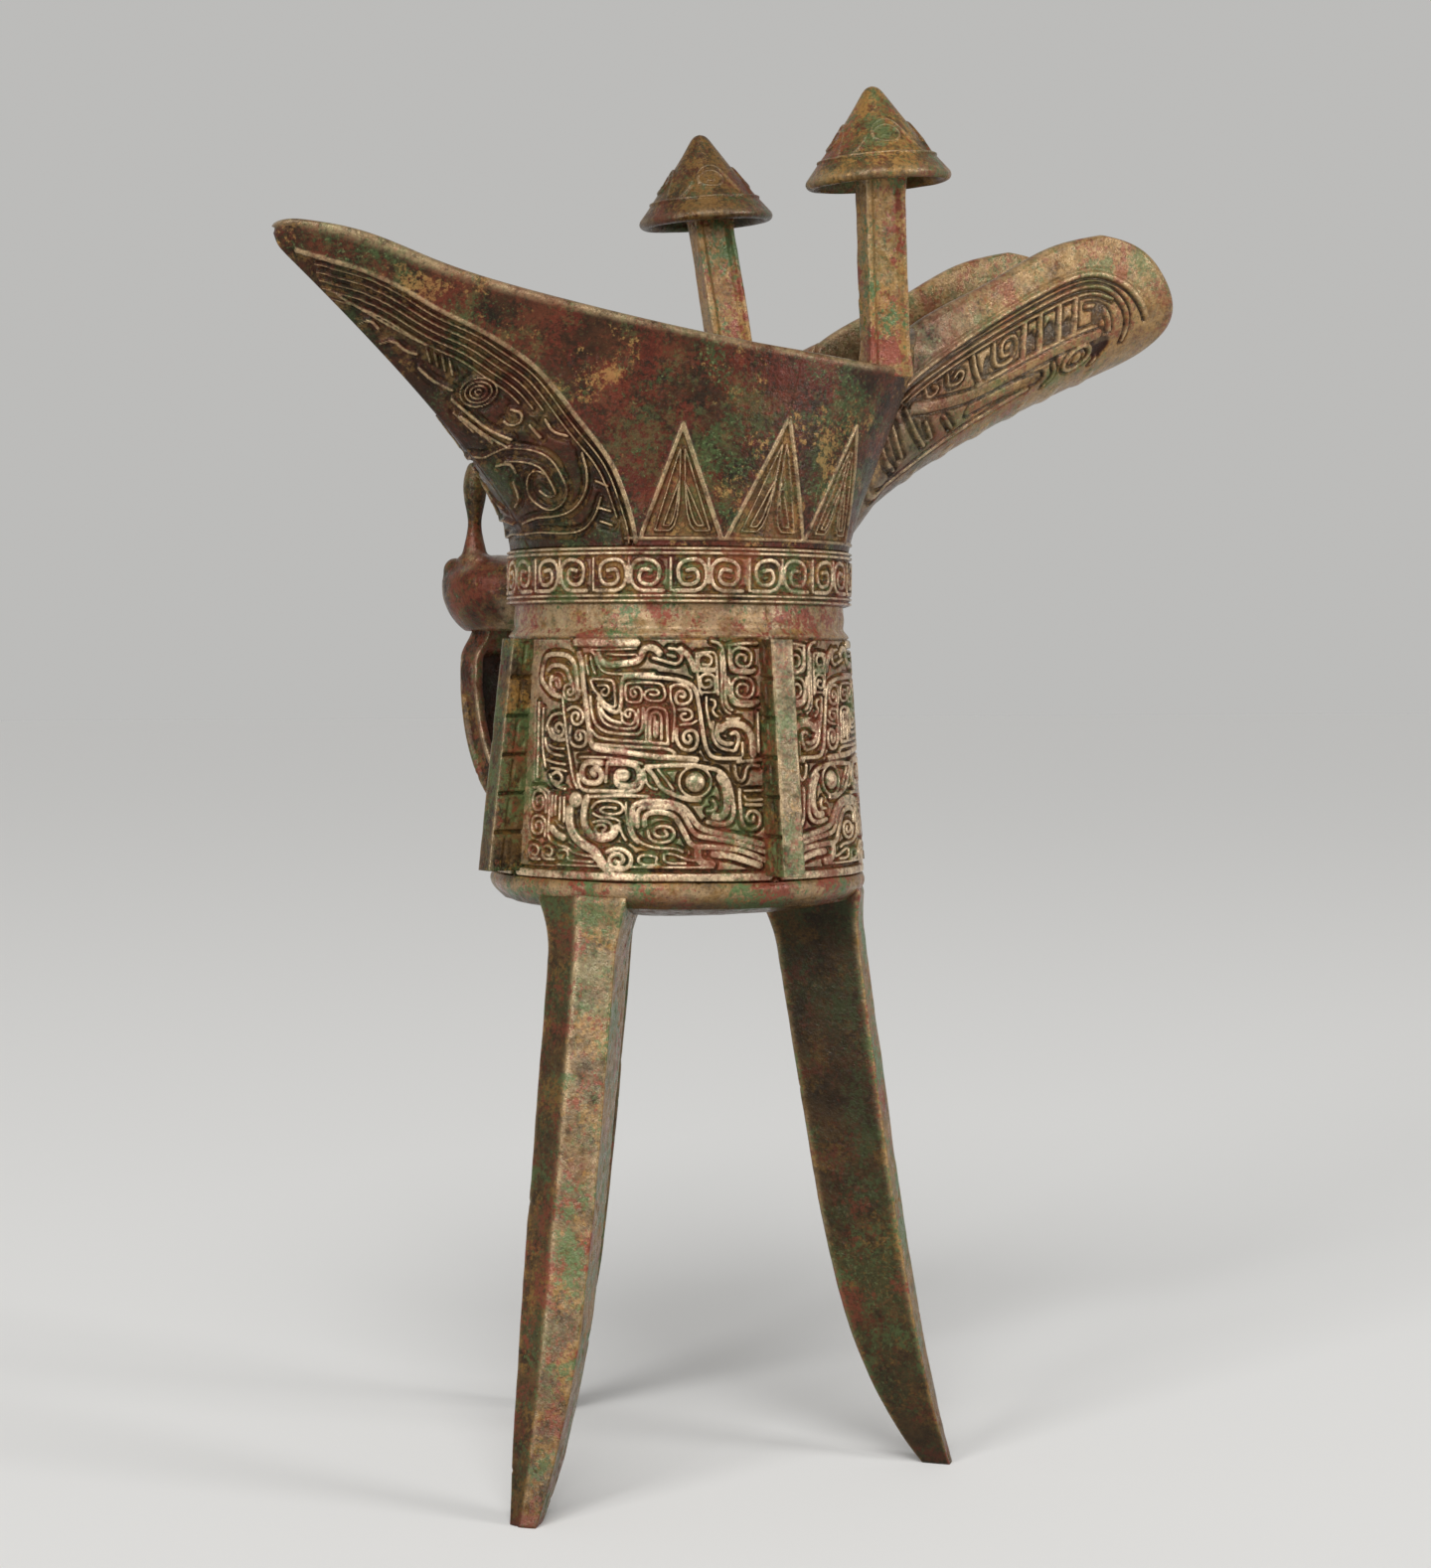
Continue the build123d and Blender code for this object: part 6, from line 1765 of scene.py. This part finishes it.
@dataclass
class Handle:
    """Loop handle on the far side: a ridged strap that hangs from a horned animal head."""

    angle: float = 98.0
    strap_width: float = 9.0
    strap_path: tuple = ((49.3, 131.6), (50.1, 127.6), (50.6, 121.0), (48.6, 111.5), (43.6, 103.8),
                         (36.0, 99.8), (30.5, 99.0), (26.6, 98.9))
    strap_thickness: float = 5.0
    strap_root: float = 5.2
    strap_root_share: float = 1.0 / 7.0
    rows: int = 170
    counts: tuple = (40, 22, 40, 22)
    corner_soft: float = 1.8
    inner_hollow: float = 1.9
    outer_hollow: float = 0.7
    groove: float = 0.55
    knob: float = 0.6
    voxel: float = 0.36
    smoothing: int = 7
    lumps: tuple = (((52.0, 5.9, 139.2), (2.3, 2.0, 2.2)), ((47.4, 5.6, 140.8), (4.0, 2.2, 1.2)),
                    ((55.6, 3.0, 133.4), (1.6, 1.9, 1.5)))

    def strap(self, shop: Workshop) -> None:
        """Make and dress the strap."""
        path = spline(self.strap_path, self.rows)
        normal = left_of(path)
        share = np.linspace(0.0, 1.0, self.rows)
        thick = np.interp(share, (0.0, self.strap_root_share), (self.strap_root, self.strap_thickness)) / 2
        half = self.strap_width / 2 * (1.0 - 0.2 * ease(share, 0.5, 1.0))
        half *= 0.56 + 0.44 * ease(share, 0.05, 0.15)
        corners = ((-half, -thick), (half, -thick), (half, thick), (-half, thick))
        loop, near = rounded_loops(corners, self.counts, self.corner_soft)
        y, away = loop[..., 0], loop[..., 1]
        across, deep = np.abs(y / half[:, None]), np.abs(away / thick[:, None])
        share = share[:, None]
        hollow = np.where(away < 0, self.inner_hollow, self.outer_hollow) * ease(share, 0.1, 0.16)
        hollow = hollow * ease(-across, -0.72, -0.5) * ease(deep, 0.7, 0.95)
        flank = ease(across, 0.8, 0.97) * ease(-deep, -0.7, -0.45)
        groove = flank * ease(share, 0.25, 0.29)
        knob = flank * np.exp(-((share - 0.2) / 0.04) ** 2)
        away = away - np.sign(away) * hollow
        y = y + np.sign(y) * (self.knob * knob - self.groove * groove)
        points = np.stack([path[:, :1] + normal[:, :1] * away, y,
                           path[:, 1:] + normal[:, 1:] * away], -1).transpose(1, 0, 2)
        points = weathered(turned_to(points, self.angle), 71, 1.0)
        low = PLAIN_LEVEL - 0.3 * np.minimum(hollow + groove, 1.0)
        # Painted shade in the hollow channels; the strap is also slightly darker throughout and on its knobs.
        marks = {"relief": low.T, "wear": 0.9 * near[:, None],
                 "gloom": unit(0.2 + 0.5 * hollow + 0.5 * knob).T}
        shop.fit(MeshGrid.closed("strap_loop", points, marks), Zone.HANDLE, "handle_strap")

    def mould(self) -> bpy.types.Mesh:
        """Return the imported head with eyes, brows and nostrils, pressed into one skin."""
        meshes = (o for o in bpy.data.objects if o.type == "MESH")
        solid = next(o for o in meshes if o.name.split(".")[0] == "handle_head")
        bm = bmesh.new()
        bm.from_mesh(solid.data)
        bmesh.ops.remove_doubles(bm, verts=bm.verts, dist=0.01 * MM)
        turn = Matrix.Rotation(math.radians(self.angle), 4, "Z")
        for side in (-1.0, 1.0):
            for (x, y, z), size in self.lumps:
                spot = Matrix.Translation(Vector((x, y * side, z)) * MM)
                spot = turn @ spot @ Matrix.Diagonal((*size, 1.0))
                bmesh.ops.create_icosphere(bm, subdivisions=3, radius=MM, matrix=spot)
        lump = MeshGrid.keep("head_mould", bm)
        press = lump.modifiers.new("press", "REMESH")
        press.mode, press.voxel_size = "VOXEL", self.voxel * MM
        shaped = bpy.data.meshes.new_from_object(lump.evaluated_get(bpy.context.evaluated_depsgraph_get()))
        bpy.data.objects.remove(lump)
        return shaped

    def head(self, shop: Workshop) -> None:
        """Make the head from its mould, softened, and dress it."""
        bm = bmesh.new()
        bm.from_mesh(self.mould())
        for _ in range(self.smoothing):
            bmesh.ops.smooth_vert(bm, verts=bm.verts, factor=0.5, use_axis_x=True, use_axis_y=True,
                                  use_axis_z=True)
        relief, wear, gloom = (bm.verts.layers.float.new(name) for name in ("relief", "wear", "gloom"))
        bm.normal_update()
        places = np.array([v.co for v in bm.verts]) / MM
        skin = cast_skin(places, 81)
        worn_and_highlight = ease(cloud(places, 4.0, 83), 0.4, 0.75)
        for vert, lift, rub_and_highlight in zip(bm.verts, skin, worn_and_highlight):
            vert.co += vert.normal * float(lift) * MM
            vert[relief], vert[wear], vert[gloom] = PLAIN_LEVEL, 0.8 * float(rub_and_highlight), 0.25
        shop.fit(MeshGrid.keep("horned_head", bm), Zone.HANDLE, "handle_head")

    def build(self, shop: Workshop) -> None:
        """Make and dress the strap and the head."""
        self.strap(shop)
        self.head(shop)


# Studio

class Glow(Enum):
    """Kinds of studio light, each with the setting that softens it."""

    SQUARE = ("AREA", "size")
    FAR = ("SUN", "angle")


@dataclass
class Studio:
    """Pale floor, soft lamps and the photograph's camera."""

    camera_place: tuple = (-240.69, -408.22, 123.51)
    azimuth: float = -31.217
    pitch: float = 2.19
    roll: float = 0.279
    focal_share: float = 1.962
    sensor: float = 36.0
    floor_size: float = 6.0
    pale: tuple = (0.8, 0.795, 0.78)
    wall: tuple = (0.504, 0.501, 0.49)
    room_strength: float = 0.25
    aim: tuple = (0.0, 0.0, 0.12)
    lights: tuple = (("high_window", Glow.FAR, (-0.5, -0.75, 1.07), 0.6, 1.8),
                     ("left_window", Glow.SQUARE, (-1.45, -0.65, 0.6), 0.55, 13.0),
                     ("right_window", Glow.SQUARE, (0.87, -1.32, 0.55), 0.5, 11.0))

    @staticmethod
    def stand(name: str, data: bpy.types.ID) -> bpy.types.Object:
        """Return a new linked object."""
        thing = bpy.data.objects.new(name, data)
        bpy.context.scene.collection.objects.link(thing)
        return thing

    def camera(self) -> None:
        """Put the camera at the photograph's place."""
        data = bpy.data.cameras.new("camera")
        data.sensor_width = self.sensor
        data.lens = self.focal_share * self.sensor
        data.clip_start, data.clip_end = 0.01, 50.0
        eye = self.stand("camera", data)
        eye.location = Vector(self.camera_place) * MM
        aim = Euler([math.radians(v) for v in (90.0 - self.pitch, 0.0, self.azimuth)]).to_matrix()
        eye.rotation_euler = (aim @ Matrix.Rotation(math.radians(self.roll), 3, "Z")).to_euler()
        bpy.context.scene.camera = eye

    def floor(self) -> None:
        """Lay the pale floor."""
        bm = bmesh.new()
        bmesh.ops.create_grid(bm, x_segments=1, y_segments=1, size=self.floor_size)
        ground = MeshGrid.keep("floor", bm)
        paint = bpy.data.materials.new("pale_floor")
        paint.use_nodes = True
        surface = paint.node_tree.nodes["Principled BSDF"]
        surface.inputs["Base Color"].default_value = (*self.pale, 1.0)
        surface.inputs["Roughness"].default_value = 0.8
        ground.data.materials.append(paint)

    def light(self, name: str, kind: Glow, place: tuple, spread: float, power: float) -> None:
        """Hang a soft light that faces the vessel.

        Args:
            name: Name of the light.
            kind: A square lamp or a far light.
            place: Its place in metres.
            spread: Side of the lamp in metres, or angle of the far light in radians.
            power: Watts of the lamp, or watts per square metre of the far light.
        """
        sort, softness = kind.value
        data = bpy.data.lights.new(name, sort)
        setattr(data, softness, spread)
        data.energy = power
        lamp = self.stand(name, data)
        lamp.location = place
        lamp.rotation_euler = (Vector(self.aim) - Vector(place)).to_track_quat("-Z", "Y").to_euler()

    def room(self) -> None:
        """Light the room evenly, and show and mirror its plain wall."""
        world = bpy.data.worlds.new("room")
        world.use_nodes = True
        nodes, links = world.node_tree.nodes, world.node_tree.links
        room = nodes["Background"]
        room.inputs["Color"].default_value = (*self.pale, 1.0)
        room.inputs["Strength"].default_value = self.room_strength
        wall = nodes.new("ShaderNodeBackground")
        wall.inputs["Color"].default_value = (*self.wall, 1.0)
        path = nodes.new("ShaderNodeLightPath")
        seen = path.outputs["Is Camera Ray"]
        for ray in ("Is Glossy Ray", "Is Transmission Ray"):
            both = nodes.new("ShaderNodeMath")
            both.operation = "MAXIMUM"
            links.new(seen, both.inputs[0])
            links.new(path.outputs[ray], both.inputs[1])
            seen = both.outputs[0]
        choice = nodes.new("ShaderNodeMixShader")
        links.new(seen, choice.inputs["Fac"])
        links.new(room.outputs["Background"], choice.inputs[1])
        links.new(wall.outputs["Background"], choice.inputs[2])
        links.new(choice.outputs["Shader"], nodes["World Output"].inputs["Surface"])
        bpy.context.scene.world = world

    def build(self) -> None:
        """Set up the whole studio."""
        self.camera()
        self.floor()
        for light in self.lights:
            self.light(*light)
        self.room()
        bpy.context.scene.view_settings.view_transform = "Standard"


def main() -> None:
    """Build the vessel and the studio in order."""
    logging.basicConfig(level=logging.INFO, format="%(message)s")
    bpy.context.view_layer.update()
    shop = Workshop()
    mouth = Mouth()
    CupWall().build(shop)
    NeckBand().build(shop)
    Collar(mouth).build(shop)
    Spout(mouth).build(shop)
    Posts().build(shop)
    Legs().build(shop)
    Flanges().build(shop)
    BasePlate().build(shop)
    Handle().build(shop)
    Studio().build()


if __name__ == "__main__":
    main()
